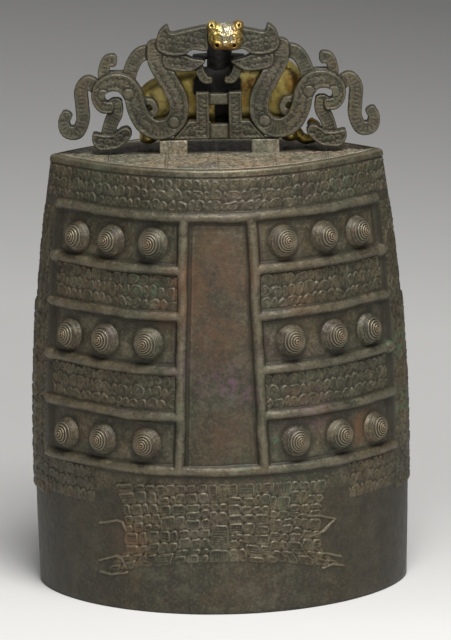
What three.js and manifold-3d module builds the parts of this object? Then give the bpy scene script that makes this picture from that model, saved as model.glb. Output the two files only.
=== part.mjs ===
// A bronze bell of the bo kind, made to hang from a frame and be struck from outside.
// A hollow body with an almond-shaped section and a flat mouth carries thirty-six coiled
// bosses, each let into the wall by a tenon. On its crown stands an openwork loop of two
// dragons with a stirrup between them, and a gilded beast clings to the loop from behind.
// Millimetres, +Z up, the mouth on z = 0, +X along the loop and -Y to the front.

import * as THREE from "three";
import { ParametricGeometry } from "three/addons/geometries/ParametricGeometry.js";
import { mergeVertices } from "three/addons/utils/BufferGeometryUtils.js";
import Module from "manifold-3d";

const wasm = await Module();
wasm.setup();

// Clearance between castings that touch
const GAP = 0.3;
const SLACK = 0.01; // lets a point on a border count as inside it

// Bell body
const CROWN_HEIGHT = 340;
const CROWN_HALF_WIDTH = 128.5;
const CROWN_HALF_DEPTH = 95;
const GIRTH_HEIGHT = 110;
const GIRTH_HALF_WIDTH = 147;
const GIRTH_HALF_DEPTH = 113.5;
const MOUTH_HALF_WIDTH = 145;
const MOUTH_HALF_DEPTH = 113;
const CROWN_FULLNESS = 1; // 1 is two arcs that meet in a sharp corner, 0.5 an ellipse
const MOUTH_FULLNESS = 0.6;
const WALL = 9;
const CROWN_THICKNESS = 12;
const LIP_THICKNESS = 12;
const LIP_HEIGHT = 16;
const LIP_TAPER = 8;
const ARRIS = 2;

// Raised frames on the wall
const RIDGE_WIDTH = 7.5;
const RIDGE_RISE = 4.5;
const RIDGE_HEIGHTS = [305.2, 265.3, 230.5, 189.4, 154.1, 112.3];
const PANEL_HALF_WIDTH_TOP = 25;
const PANEL_HALF_WIDTH_FOOT = 32;
const END_RIDGE_WIDTH = 5;
const END_RIDGE_RISE = 2;
const END_RIDGE_SHARE = 0.885; // its inner foot, as a share of a face's half width

// Raised fields under the fine ornament: bands between the rows of bosses and over the top
// ridge, and a strip down each end whose middle swells below the second row of bosses
const FIELD_RISE = 0.7;
const BAND_ROWS = [1, 3]; // the ridge over each band, counted from the top
const TOP_BAND_EDGE = 334.5;
const STRIP_FOOT = 76;
const STRIP_STEP_ROW = 2; // the ridge under which the strip's middle swells
const STRIP_SWELL = 1.1;
const STRIP_SWELL_REACH = 12; // how far from the bell's middle plane it swells in full
const STRIP_EDGE_REACH = 18;
const FIELD_COLUMNS = 6; // columns of the wall between the panel and the end ridge

// The gu, the raised field under the frames where the bell is struck; its lower corners
// run out into horns, and its top and foot sag towards the corners
const GU_RISE = 0.7;
const GU_SUNK = 4;
const GU_HALF_WIDTH = 76;
const GU_HORN = 16;
const GU_FLARE = 4;
const GU_TOP = 103;
const GU_TOP_SAG = 4;
const GU_FOOT = 41;
const GU_FOOT_SAG = 14;
const GU_COLUMNS = 14;

// Bosses, in rows between two ridges. A row has its upper ridge, counted from the top, and
// its shift outwards; a column has its share of a face's half width and its drop below the
// middle between the ridges.
const BOSS_ROWS = {
  top: { ridge: 0, shift: -0.015 },
  middle: { ridge: 2, shift: 0 },
  lower: { ridge: 4, shift: 0.011 },
};
const BOSS_COLUMNS = {
  inner: { share: 0.377, drop: 1 },
  centre: { share: 0.605, drop: 1.6 },
  outer: { share: 0.794, drop: 2.6 },
};
const BOSS_SINK = 1.2; // how deep the flat seat is cut in the curved wall
const BOSS_RADIUS = 13.5;
const BOSS_HEIGHT = 11.5;
const BOSS_STEPS = 3;
const BOSS_SIDES = 10;
const TENON_RADIUS = 5;
const TENON_LENGTH = 4.5;
const TENON_SIDES = 6;

// Loop of two dragons, a little right of the body's middle
const LOOP_OFFSET = 2.5;
const BODY_WIDTH = 15;
const BODY_END_WIDTH = 9;
const TAIL_WIDTH = 10.5;
const LEG_WIDTH = 11;
const CREST_WIDTH = 8;
const WING_WIDTH = 11;
const BARB_WIDTH = 5;
const TONGUE_WIDTH = 7;
const DRAGON_DEPTH = 17;
const LIMB_DEPTH = 13;
const HEAD_DEPTH = 19;
const CHAMFER = 1.5;

// Plinths that carry the loop, with mortises for its tenons
const PLINTH_CENTRE = 35.5;
const PLINTH_WIDTH = 21.5;
const PLINTH_DEPTH = 15;
const PLINTH_HEIGHT = 10;
const LOOP_TENON_WIDTH = 6;
const LOOP_TENON_DEPTH = 8;
const LOOP_TENON_LENGTH = 7;
const LOOP_TENON_SPACING = 11;

// Stirrup between the dragons
const STIRRUP_HALF_WIDTH = 17.8;
const STIRRUP_POST = 10.3;
const STIRRUP_HEIGHT = 47;
const STIRRUP_BAR = 10;
const STIRRUP_EYE = 15;
const STIRRUP_DEPTH = 15;
const STIRRUP_BAR_DEPTH = 11;
const STIRRUP_FOOT_REACH = 36;
const STIRRUP_FOOT_TOP = 24.5;

// Gilded beast; its trunk is a rounded plate, its limbs are round
const BEAST_RADIUS = 12;
const BEAST_ROUNDING = 9;
const BEAST_ROUNDING_STEPS = 3;
const BEAST_LEG_WIDTH = 15;
const BEAST_TAIL_WIDTH = 8;
const NECK_WIDTH = 20;
const NECK_TOP = 91;
const FORELEG_WIDTH = 5;
const FORELEG_HEIGHT = 71;
const FORELEG_REACH = 21;
const MASK_OFFSET = 6;
const MASK_DEPTH = 12;
const MASK_BEVEL = 2.5;
const STEM_WIDTH = 10;
const STEM_HEIGHT = 8;
const STEM_LIFT = 85;
const STEM_LET_IN = 8;

const bronze = new THREE.MeshStandardMaterial({ color: 0x5d574a, roughness: 0.55, metalness: 0.75 });
const bossBronze = new THREE.MeshStandardMaterial({ color: 0x6b6152, roughness: 0.45, metalness: 0.8 });
const loopBronze = new THREE.MeshStandardMaterial({ color: 0x5c5e51, roughness: 0.55, metalness: 0.7 });
const gilding = new THREE.MeshStandardMaterial({ color: 0xc9a040, roughness: 0.35, metalness: 1 });

const bell = new THREE.Group();

// Turns a closed geometry into a solid that can be cut and joined.
function solid(geometry) {
  const bare = geometry.index ? geometry.toNonIndexed() : geometry.clone();
  bare.deleteAttribute("normal");
  bare.deleteAttribute("uv");
  const merged = mergeVertices(bare, 1e-3);
  const corners = merged.index.array;
  const kept = [];
  for (let i = 0; i < corners.length; i += 3) {
    const [a, b, c] = corners.slice(i, i + 3);
    if (a !== b && b !== c && c !== a) kept.push(a, b, c);
  }
  return new wasm.Manifold(
    new wasm.Mesh({
      numProp: 3,
      vertProperties: merged.attributes.position.array,
      triVerts: new Uint32Array(kept),
    }),
  );
}

function addPiece(name, body, material) {
  const mesh = body.getMesh();
  const geometry = new THREE.BufferGeometry();
  geometry.setAttribute("position", new THREE.BufferAttribute(mesh.vertProperties, 3));
  geometry.setIndex(new THREE.BufferAttribute(mesh.triVerts, 1));
  geometry.computeVertexNormals();
  const piece = new THREE.Mesh(geometry, material);
  piece.name = name;
  bell.add(piece);
}

function join(solids) {
  return solids.reduce((all, next) => all.add(next));
}

function boxSolid([x0, x1], [y0, y1], [z0, z1]) {
  const box = new THREE.BoxGeometry(x1 - x0, y1 - y0, z1 - z0);
  return solid(box.translate((x0 + x1) / 2, (y0 + y1) / 2, (z0 + z1) / 2));
}

// Half width, half depth and fullness of the wall's outside at a height
function sectionAt(z) {
  const above = z > GIRTH_HEIGHT;
  const share = above
    ? (z - GIRTH_HEIGHT) / (CROWN_HEIGHT - GIRTH_HEIGHT)
    : (GIRTH_HEIGHT - z) / GIRTH_HEIGHT;
  const endWidth = above ? CROWN_HALF_WIDTH : MOUTH_HALF_WIDTH;
  const endDepth = above ? CROWN_HALF_DEPTH : MOUTH_HALF_DEPTH;
  return {
    width: GIRTH_HALF_WIDTH + (endWidth - GIRTH_HALF_WIDTH) * share ** 2,
    depth: GIRTH_HALF_DEPTH + (endDepth - GIRTH_HALF_DEPTH) * share ** 2,
    fullness: MOUTH_FULLNESS + ((CROWN_FULLNESS - MOUTH_FULLNESS) * z) / CROWN_HEIGHT,
  };
}

// A point of the almond: side is a share of the half width, face is -1 in front and 1 behind
function almondPoint({ width, depth, fullness }, side, face) {
  return new THREE.Vector2(width * side, face * depth * Math.max(0, 1 - side ** 2) ** fullness);
}

// Half width of the plain middle panel, to its ridges' centre lines
function panelHalfWidth(z) {
  const top = RIDGE_HEIGHTS[0];
  const foot = RIDGE_HEIGHTS[RIDGE_HEIGHTS.length - 1];
  const down = THREE.MathUtils.clamp((top - z) / (top - foot), 0, 1);
  return THREE.MathUtils.lerp(PANEL_HALF_WIDTH_TOP, PANEL_HALF_WIDTH_FOOT, down);
}

// Centre line of the ridge that ends the framed fields, beside the outer bosses
function endRidgeX(z) {
  return END_RIDGE_SHARE * sectionAt(z).width + END_RIDGE_WIDTH / 2;
}

// A ridge's section: flat on top over half its width, with sloping sides
function moulding(distance, width, rise) {
  return rise * THREE.MathUtils.clamp((width / 2 - Math.abs(distance)) / (width / 4), 0, 1);
}

function isWithin(z, low, high) {
  return z > low - SLACK && z < high + SLACK;
}

// How far the raised fields of ornament stand out of the wall
function fieldRise(side, z) {
  const { width, depth, fullness } = sectionAt(z);
  const x = Math.abs(side) * width;
  const foot = RIDGE_WIDTH / 2;
  if (isWithin(z, RIDGE_HEIGHTS[0] + foot, TOP_BAND_EDGE)) return FIELD_RISE;
  if (x < endRidgeX(z)) {
    const inBand = BAND_ROWS.some((row) =>
      isWithin(z, RIDGE_HEIGHTS[row + 1] + foot, RIDGE_HEIGHTS[row] - foot),
    );
    return inBand && x > panelHalfWidth(z) ? FIELD_RISE : 0;
  }
  if (!isWithin(z, STRIP_FOOT, RIDGE_HEIGHTS[0] - foot)) return 0;
  const fromMiddle = depth * Math.max(0, 1 - side ** 2) ** fullness;
  const swollen = isWithin(z, STRIP_FOOT + STRIP_SWELL, RIDGE_HEIGHTS[STRIP_STEP_ROW] - foot);
  return swollen && fromMiddle < STRIP_SWELL_REACH + SLACK ? FIELD_RISE + STRIP_SWELL : FIELD_RISE;
}

// How far the frames and fields stand out of the wall
function relief(side, z) {
  const x = Math.abs(side) * sectionAt(z).width;
  const [top, foot] = [RIDGE_HEIGHTS[0], RIDGE_HEIGHTS[RIDGE_HEIGHTS.length - 1]];
  const reach = RIDGE_WIDTH / 4 + SLACK;
  const rises = [fieldRise(side, z)];
  if (x < endRidgeX(z) + SLACK) {
    for (const height of RIDGE_HEIGHTS) {
      const whole = height === top || height === foot;
      if (whole || x > panelHalfWidth(z)) rises.push(moulding(z - height, RIDGE_WIDTH, RIDGE_RISE));
    }
  }
  if (z < top + reach && z > foot - reach) {
    rises.push(moulding(x - panelHalfWidth(z), RIDGE_WIDTH, RIDGE_RISE));
    rises.push(moulding(x - endRidgeX(z), END_RIDGE_WIDTH, END_RIDGE_RISE));
  }
  return Math.max(...rises);
}

// Where the wall comes within a reach of the bell's middle plane, as a share of the half width
function sideAtReach(z, reach) {
  const { depth, fullness } = sectionAt(z);
  return Math.sqrt(1 - (reach / depth) ** (1 / fullness));
}

// Columns of the wall from the middle of a face to its corner, as shares of the half width
function quarterOfColumns(z) {
  const { width } = sectionAt(z);
  const panel = [-2, -1, 1, 2].map((q) => (panelHalfWidth(z) + (q * RIDGE_WIDTH) / 4) / width);
  const end = [-2, -1, 1, 2].map((q) => (endRidgeX(z) + (q * END_RIDGE_WIDTH) / 4) / width);
  const [start, stop] = [Math.asin(panel[3]), Math.asin(end[0])];
  const field = Array.from({ length: FIELD_COLUMNS }, (_, i) =>
    Math.sin(THREE.MathUtils.lerp(start, stop, (i + 1) / (FIELD_COLUMNS + 1))),
  );
  const edge = Math.max(sideAtReach(z, STRIP_EDGE_REACH), THREE.MathUtils.lerp(end[3], 1, 0.25));
  const swell = Math.max(sideAtReach(z, STRIP_SWELL_REACH), THREE.MathUtils.lerp(end[3], 1, 0.5));
  return [0, ...panel, ...field, ...end, edge, swell, 1];
}

// All columns round the bell, from the middle of the front towards +X
function roundOfColumns(z) {
  const quarter = quarterOfColumns(z);
  const right = [
    ...quarter.map((side) => ({ side, face: -1 })),
    ...quarter.slice(0, -1).reverse().map((side) => ({ side, face: 1 })),
  ];
  const left = right.slice(1, -1).reverse().map(({ side, face }) => ({ side: -side, face }));
  return [...right, ...left];
}

// Rings from the middle of the crown down the outside, then up the inside to the middle
function ringsOfBody() {
  const ridgeRows = RIDGE_HEIGHTS.flatMap((z) => [2, 1, -1, -2].map((q) => z + (q * RIDGE_WIDTH) / 4));
  const topRows = [CROWN_HEIGHT - ARRIS, TOP_BAND_EDGE + FIELD_RISE, TOP_BAND_EDGE];
  const footRows = [STRIP_FOOT + STRIP_SWELL, STRIP_FOOT, STRIP_FOOT - FIELD_RISE, GIRTH_HEIGHT / 2, 0];
  const ceiling = CROWN_HEIGHT - CROWN_THICKNESS;
  const inside = [
    [0, LIP_THICKNESS],
    [LIP_HEIGHT, LIP_THICKNESS],
    [LIP_HEIGHT + LIP_TAPER, WALL],
    [GIRTH_HEIGHT, WALL],
    [(GIRTH_HEIGHT + ceiling) / 2, WALL],
    [ceiling, WALL],
  ];
  return [
    { z: CROWN_HEIGHT, inset: ARRIS, spread: 0 },
    { z: CROWN_HEIGHT, inset: ARRIS, spread: 1 },
    ...[...topRows, ...ridgeRows, ...footRows].map((z) => ({ z, inset: 0, spread: 1 })),
    ...inside.map(([z, inset]) => ({ z, inset, spread: 1 })),
    { z: ceiling, inset: WALL, spread: 0 },
  ];
}

// A point of the wall's outside, moved out of it by a lift
function wallPoint(side, face, z, lift) {
  const { width, depth, fullness } = sectionAt(z);
  const point = almondPoint({ width, depth, fullness }, side, face);
  const outward = new THREE.Vector2(point.x / width ** 2, point.y / depth ** 2).normalize();
  return point.addScaledVector(outward, lift);
}

function bodySolid() {
  const rings = ringsOfBody();
  const columns = roundOfColumns(0).length;
  return solid(
    new ParametricGeometry(
      (u, v, target) => {
        const { z, inset, spread } = rings[Math.round(v * (rings.length - 1))];
        const { side, face } = roundOfColumns(z)[Math.round((1 - u) * columns) % columns];
        const { width, depth, fullness } = sectionAt(z);
        const inner = { width: width - inset, depth: depth - inset, fullness };
        const outside = wallPoint(side, face, z, relief(side, z));
        const point = inset > 0 ? almondPoint(inner, side, face) : outside;
        target.set(point.x * spread, point.y * spread, z);
      },
      columns,
      rings.length - 1,
    ),
  );
}

// The gu on one face, a thin curved plate set into the wall. Its rows run from foot to top
// and back on the inside, and at either end they close on its middle.
function guSolid(face) {
  const shares = [0, 0, 0.1, 0.22, 0.6, 1, 1];
  return solid(
    new ParametricGeometry(
      (u, v, target) => {
        const row = Math.round(v * (shares.length - 1));
        const share = shares[row];
        const spot = Math.round(u * 2 * (GU_COLUMNS + 1)) % (2 * (GU_COLUMNS + 1));
        const inside = spot > GU_COLUMNS;
        const across = (inside ? 2 * GU_COLUMNS + 1 - spot : spot) / GU_COLUMNS;
        const horn = GU_HORN * (1 - THREE.MathUtils.smoothstep(share, 0.02, 0.22));
        const half = GU_HALF_WIDTH + horn + GU_FLARE * THREE.MathUtils.smoothstep(share, 0.6, 1);
        const x = face * half * (1 - 2 * across);
        const foot = GU_FOOT - GU_FOOT_SAG * (x / (GU_HALF_WIDTH + GU_HORN)) ** 2;
        const top = GU_TOP - GU_TOP_SAG * (x / (GU_HALF_WIDTH + GU_FLARE)) ** 2;
        const z = THREE.MathUtils.lerp(foot, top, share);
        const closing = row === 0 || row === shares.length - 1;
        const lift = closing ? -GU_SUNK / 2 : inside ? -GU_SUNK : GU_RISE;
        const point = wallPoint(x / sectionAt(z).width, face, z, lift);
        target.set(point.x, point.y, z);
      },
      2 * (GU_COLUMNS + 1),
      shares.length - 1,
    ),
  );
}

// Where a boss sits, its axis square to the wall
function bossPlacement(face, hand, column, row) {
  const at = (side, z) => {
    const point = wallPoint(side, face, z, 0);
    return new THREE.Vector3(point.x, point.y, z);
  };
  const side = hand * (column.share + row.shift);
  const z = (RIDGE_HEIGHTS[row.ridge] + RIDGE_HEIGHTS[row.ridge + 1]) / 2 - column.drop;
  const across = at(side + 0.01, z).sub(at(side - 0.01, z));
  const upward = at(side, z + 1).sub(at(side, z - 1));
  const outward = across.cross(upward).normalize();
  if (outward.y * face < 0) outward.negate();
  const seat = at(side, z).addScaledVector(outward, -BOSS_SINK);
  const turn = new THREE.Quaternion().setFromUnitVectors(new THREE.Vector3(0, 1, 0), outward);
  return new THREE.Matrix4().compose(seat, turn, new THREE.Vector3(1, 1, 1));
}

function cylinderSolid(radius, [low, high], sides, placement) {
  const cylinder = new THREE.CylinderGeometry(radius, radius, high - low, sides);
  return solid(cylinder.translate(0, (low + high) / 2, 0).applyMatrix4(placement));
}

// Coil on coil, drawn as a stepped dome, with a tenon behind it
function bossSolid(placement) {
  const profile = [new THREE.Vector2(0, GAP), new THREE.Vector2(BOSS_RADIUS, GAP)];
  for (let step = 1; step <= BOSS_STEPS; step++) {
    const [below, here] = [step - 1, step].map((n) => (n / BOSS_STEPS) * (Math.PI / 2));
    const top = GAP + BOSS_HEIGHT * Math.sin(here);
    const [wide, narrow] = [Math.cos(below), Math.cos(here)].map((share) => BOSS_RADIUS * share);
    profile.push(new THREE.Vector2((wide + narrow) / 2, top));
    profile.push(new THREE.Vector2(step < BOSS_STEPS ? narrow : 0, top));
  }
  const dome = solid(new THREE.LatheGeometry(profile, BOSS_SIDES).applyMatrix4(placement));
  return dome.add(cylinderSolid(TENON_RADIUS, [GAP - TENON_LENGTH, 2 * GAP], TENON_SIDES, placement));
}

// A flat round seat sunk in the curved wall, and the hole for the tenon
function bossSocket(placement) {
  const seat = cylinderSolid(BOSS_RADIUS + GAP, [0, BOSS_HEIGHT], BOSS_SIDES, placement);
  return seat.add(cylinderSolid(TENON_RADIUS + GAP, [-TENON_LENGTH, BOSS_HEIGHT], TENON_SIDES, placement));
}

// A strap along a curve, in an upright plane parallel to the loop. Its points are distances
// from the loop's middle and heights above the crown; hand is -1 for the left dragon.
function strapSolid({ points, width, endWidth = width, depth, chamfer = CHAMFER, y = 0, hand = 1, grow = 0 }) {
  const path = points.map(([x, h]) => new THREE.Vector3(LOOP_OFFSET + hand * x, y, CROWN_HEIGHT + h));
  const curve = new THREE.CatmullRomCurve3(path, false, "centripetal");
  const length = curve.getLength();
  const steps = Math.max(4, Math.round(length / 6));
  const rounding = width / 6 / length;
  const rings = [
    { along: 0, share: 0 },
    { along: 0, share: 0.6 },
    { along: rounding, share: 0.9 },
    ...Array.from({ length: steps - 1 }, (_, i) => ({ along: (i + 1) / steps, share: 1 })),
    { along: 1 - rounding, share: 0.9 },
    { along: 1, share: 0.6 },
    { along: 1, share: 0 },
  ];
  const outlineOf = (across, back) => {
    const cut = Math.min(chamfer, across * 0.6, back * 0.6);
    const quarter = [
      [across, back - cut],
      [across - cut, back],
    ];
    const half = [...quarter, ...quarter.map(([a, b]) => [-a, b]).reverse()];
    return [...half, ...half.map(([a, b]) => [-a, -b])];
  };
  return solid(
    new ParametricGeometry(
      (u, v, target) => {
        const { along, share } = rings[Math.round(v * (rings.length - 1))];
        const centre = curve.getPointAt(along);
        const tangent = curve.getTangentAt(along);
        const taper = THREE.MathUtils.smoothstep(along, 0.7, 1);
        const across = (THREE.MathUtils.lerp(width, endWidth, taper) / 2 + grow) * (share || 1);
        const outline = outlineOf(across, depth / 2 + grow);
        const [a, b] = outline[Math.round(u * outline.length) % outline.length];
        const spread = share > 0 ? 1 : 0;
        target.set(
          centre.x + spread * a * tangent.z,
          centre.y + spread * b,
          centre.z - spread * a * tangent.x,
        );
      },
      8,
      rings.length - 1,
    ),
  );
}

// A flat shape in the loop's plane, given as the strap's points are, with chamfered edges
function plateSolid({ outline, depth, chamfer = CHAMFER, steps = 1, y = 0, x = 0, hand = 1 }) {
  const shape = new THREE.Shape(outline.map(([a, h]) => new THREE.Vector2(hand * a, h)));
  const plate = new THREE.ExtrudeGeometry(shape, {
    depth: depth - 2 * chamfer,
    bevelThickness: chamfer,
    bevelSize: chamfer,
    bevelOffset: -chamfer,
    bevelSegments: steps,
  });
  plate.translate(0, 0, chamfer - depth / 2).rotateX(Math.PI / 2);
  return solid(plate.translate(LOOP_OFFSET + x, y, CROWN_HEIGHT));
}

function loopTenon(x, grow = 0) {
  const half = LOOP_TENON_WIDTH / 2 + grow;
  const foot = PLINTH_HEIGHT - LOOP_TENON_LENGTH - grow;
  return boxSolid(
    [LOOP_OFFSET + x - half, LOOP_OFFSET + x + half],
    [-LOOP_TENON_DEPTH / 2 - grow, LOOP_TENON_DEPTH / 2 + grow],
    [CROWN_HEIGHT + foot, CROWN_HEIGHT + PLINTH_HEIGHT + LOOP_TENON_WIDTH],
  );
}

// From the back of the head down the neck, round the bend, over the back and into a curl
function dragonBody(hand, grow = 0) {
  return strapSolid({
    points: [
      [47.3, 83.4],
      [46.8, 72],
      [38.5, 56],
      [31.4, 41],
      [32, 28],
      [39, 20],
      [48.5, 18.4],
      [57.5, 23.5],
      [63, 34],
      [66.2, 46],
      [73, 54.3],
      [82.5, 55.6],
      [91, 51],
      [93, 43.5],
      [89.5, 37],
      [83.5, 36],
    ],
    width: BODY_WIDTH,
    endWidth: BODY_END_WIDTH,
    depth: DRAGON_DEPTH,
    hand,
    grow,
  });
}

function dragonSolid(hand) {
  const limb = { depth: LIMB_DEPTH, hand };
  const tail = { points: [[94, 52], [101, 55.5], [105.8, 50], [105.5, 38], [105.3, 26], [110, 17.2]], ...limb };
  tail.points.push([117.5, 18], [119.8, 25.5], [116.5, 33]);
  const leg = [[80, 40], [79.5, 32], [83, 25], [87.5, 10]];
  const crest = [[87.7, 56], [88.4, 64], [85, 73], [79.5, 73.5]];
  const wing = [[70, 55], [66.5, 67], [60.5, 76], [50, 79]];
  const web = [[66, 60], [90, 60]];
  const barb = [[59, 40.5], [51.5, 39.5], [49, 33.5], [52, 30]];
  const tongue = [[16, 70], [13.5, 61.5], [9.7, 56], [4.5, 55.5]];
  const head = [[47, 82], [46, 92], [42.9, 96.5], [38.8, 99], [36.3, 93], [17.2, 96.6], [8.3, 97.5]];
  head.push([8.3, 79.4], [19.6, 80.1], [25.8, 76.4], [41, 77]);
  const jaw = [[42, 76], [25.8, 76.6], [21.8, 73.4], [9.8, 71], [18.9, 64.1], [24, 63.1], [41, 67]];
  const foot = [[97.4, 16], [83.4, 15], [74.4, 20.1], [70, 20], [67.5, 14.8], [74, 7], [80, 3.5], [94, 3.5]];
  foot.push([98.2, 10]);
  return join([
    dragonBody(hand),
    strapSolid({ ...tail, width: TAIL_WIDTH }),
    strapSolid({ points: leg, width: LEG_WIDTH, ...limb }),
    strapSolid({ points: crest, width: CREST_WIDTH, ...limb }),
    strapSolid({ points: wing, width: WING_WIDTH, ...limb }),
    strapSolid({ points: web, width: CREST_WIDTH, ...limb }),
    strapSolid({ points: barb, width: BARB_WIDTH, ...limb }),
    strapSolid({ points: tongue, width: TONGUE_WIDTH, ...limb }),
    plateSolid({ outline: head, depth: HEAD_DEPTH, hand }),
    plateSolid({ outline: jaw, depth: DRAGON_DEPTH, hand }),
    plateSolid({ outline: foot, depth: DRAGON_DEPTH, hand }),
    loopTenon(hand * (PLINTH_CENTRE + LOOP_TENON_SPACING / 2)),
  ]);
}

function stirrupSolid() {
  const foot = PLINTH_HEIGHT + GAP;
  const eyeTop = STIRRUP_HEIGHT - STIRRUP_BAR;
  const eyeFoot = eyeTop - STIRRUP_EYE;
  const inner = STIRRUP_HALF_WIDTH - STIRRUP_POST;
  const bar = (low, high) =>
    boxSolid(
      [LOOP_OFFSET - STIRRUP_HALF_WIDTH + CHAMFER, LOOP_OFFSET + STIRRUP_HALF_WIDTH - CHAMFER],
      [-STIRRUP_BAR_DEPTH / 2, STIRRUP_BAR_DEPTH / 2],
      [CROWN_HEIGHT + low, CROWN_HEIGHT + high],
    );
  const post = [
    [inner, foot],
    [inner, STIRRUP_HEIGHT],
    [STIRRUP_HALF_WIDTH, STIRRUP_HEIGHT],
    [STIRRUP_HALF_WIDTH, STIRRUP_FOOT_TOP],
    [STIRRUP_HALF_WIDTH + 6, STIRRUP_FOOT_TOP],
    [STIRRUP_FOOT_REACH, foot],
  ];
  const sides = [-1, 1].map((hand) =>
    plateSolid({ outline: post, depth: STIRRUP_DEPTH, hand })
      .add(loopTenon(hand * (PLINTH_CENTRE - LOOP_TENON_SPACING / 2)))
      .subtract(dragonBody(hand, GAP)),
  );
  return join([...sides, bar(foot, eyeFoot), bar(eyeTop, STIRRUP_HEIGHT - CHAMFER)]);
}

// Behind the loop: a full trunk on two legs, a neck, level forelegs and a curled tail
const beastY = HEAD_DEPTH / 2 + GAP + BEAST_RADIUS;

function beastStrap(points, width, endWidth = width) {
  const round = width * (1 - Math.SQRT1_2);
  return strapSolid({ points, width, endWidth, depth: width, chamfer: round, y: beastY });
}

function beastStem(grow = 0) {
  const half = STEM_WIDTH / 2 + grow;
  const middle = CROWN_HEIGHT + STEM_LIFT + STEM_HEIGHT / 2;
  const front = -HEAD_DEPTH / 2 - GAP - MASK_DEPTH / 2;
  const back = beastY - NECK_WIDTH / 2 + STEM_LET_IN + grow;
  return boxSolid(
    [LOOP_OFFSET - half, LOOP_OFFSET + half],
    [front, back],
    [middle - STEM_HEIGHT / 2 - grow, middle + STEM_HEIGHT / 2 + grow],
  );
}

function beastSolid() {
  const trunk = [[-58, 18], [-64, 27], [-65, 38], [-61, 47], [-52, 54], [-38, 59], [-20, 62], [0, 64.5]];
  trunk.push([22, 67], [42, 68.5], [55, 67], [63, 60], [66, 48], [66, 36], [63, 25], [56, 18]);
  trunk.push([40, 20], [0, 21], [-40, 20]);
  const leftLeg = [[-56, 24], [-55, 12], [-55, GAP]];
  const rightLeg = [[58, 24], [55, 12], [55, GAP]];
  const tail = [[58, 14], [66, 5], [74, 7], [75, 17], [69, 21]];
  const neck = [[1, 50], [1, 70], [1, NECK_TOP]];
  const forelegs = [[-FORELEG_REACH, FORELEG_HEIGHT], [FORELEG_REACH, FORELEG_HEIGHT]];
  const round = { chamfer: BEAST_ROUNDING, steps: BEAST_ROUNDING_STEPS };
  return join([
    plateSolid({ outline: trunk, depth: 2 * BEAST_RADIUS, ...round, y: beastY }),
    beastStrap(leftLeg, BEAST_LEG_WIDTH),
    beastStrap(rightLeg, BEAST_LEG_WIDTH),
    beastStrap(tail, BEAST_TAIL_WIDTH),
    beastStrap(neck, NECK_WIDTH),
    beastStrap(forelegs, FORELEG_WIDTH),
  ]).subtract(beastStem(GAP));
}

function maskSolid() {
  const half = [[5, 100], [9, 102], [14, 101.5], [13, 95], [13, 86], [9, 81], [3, 80]];
  const outline = [...half, ...half.map(([x, h]) => [-x, h]).reverse()];
  const y = -HEAD_DEPTH / 2 - GAP - MASK_DEPTH / 2;
  return plateSolid({ outline, depth: MASK_DEPTH, chamfer: MASK_BEVEL, x: MASK_OFFSET, y }).add(beastStem());
}

function plinthSolid(hand) {
  const x = LOOP_OFFSET + hand * PLINTH_CENTRE;
  return boxSolid(
    [x - PLINTH_WIDTH / 2, x + PLINTH_WIDTH / 2],
    [-PLINTH_DEPTH / 2, PLINTH_DEPTH / 2],
    [CROWN_HEIGHT - CROWN_THICKNESS / 2, CROWN_HEIGHT + PLINTH_HEIGHT],
  ).subtract(dragonBody(hand, GAP));
}

const placements = [];
for (const [faceName, face] of [["front", -1], ["back", 1]]) {
  for (const [handName, hand] of [["left", -1], ["right", 1]]) {
    for (const [rowName, row] of Object.entries(BOSS_ROWS)) {
      for (const [columnName, column] of Object.entries(BOSS_COLUMNS)) {
        const name = `boss_${faceName}_${handName}_${rowName}_${columnName}`;
        placements.push({ name, placement: bossPlacement(face, hand, column, row) });
      }
    }
  }
}

const mortises = [-1, 1].flatMap((hand) =>
  [-1, 1].map((end) => loopTenon(hand * PLINTH_CENTRE + (end * LOOP_TENON_SPACING) / 2, GAP)),
);
const holes = join([...mortises, ...placements.map(({ placement }) => bossSocket(placement))]);
const casting = join([bodySolid(), guSolid(-1), guSolid(1), plinthSolid(-1), plinthSolid(1)]);
addPiece("bell_body", casting.subtract(holes), bronze);
for (const { name, placement } of placements) addPiece(name, bossSolid(placement), bossBronze);
addPiece("loop_dragon_left", dragonSolid(-1), loopBronze);
addPiece("loop_dragon_right", dragonSolid(1), loopBronze);
addPiece("loop_stirrup", stirrupSolid(), loopBronze);
addPiece("gilt_beast_body", beastSolid(), gilding);
addPiece("gilt_beast_mask", maskSolid(), gilding);

export default bell;
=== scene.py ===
import math

import bmesh
import bpy
import numpy as np
from mathutils import Matrix, Vector


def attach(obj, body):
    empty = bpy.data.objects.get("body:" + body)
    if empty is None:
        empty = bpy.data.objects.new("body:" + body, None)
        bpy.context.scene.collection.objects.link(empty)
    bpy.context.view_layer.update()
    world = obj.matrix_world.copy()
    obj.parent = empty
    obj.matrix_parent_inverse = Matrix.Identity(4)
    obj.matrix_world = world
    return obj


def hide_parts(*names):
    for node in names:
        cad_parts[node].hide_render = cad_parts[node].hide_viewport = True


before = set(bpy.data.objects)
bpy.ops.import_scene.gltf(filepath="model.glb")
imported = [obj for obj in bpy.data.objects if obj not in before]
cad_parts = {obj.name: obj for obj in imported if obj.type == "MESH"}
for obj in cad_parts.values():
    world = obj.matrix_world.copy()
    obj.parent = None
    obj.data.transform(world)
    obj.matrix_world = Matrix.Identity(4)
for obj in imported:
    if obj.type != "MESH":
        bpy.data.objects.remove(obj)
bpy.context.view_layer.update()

# The camera stands well back on the bell's centre line, a little above its crown, and looks
# down at it through a long lens. Metres and degrees; the picture is 451 by 640.
CAMERA_DISTANCE = 2.76
CAMERA_HEIGHT = 0.764
CAMERA_PITCH = math.radians(11.42)
CAMERA_PAN = math.radians(0.101)
CAMERA_ROLL = math.radians(-0.97)
CAMERA_LENS = 202.5

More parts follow.
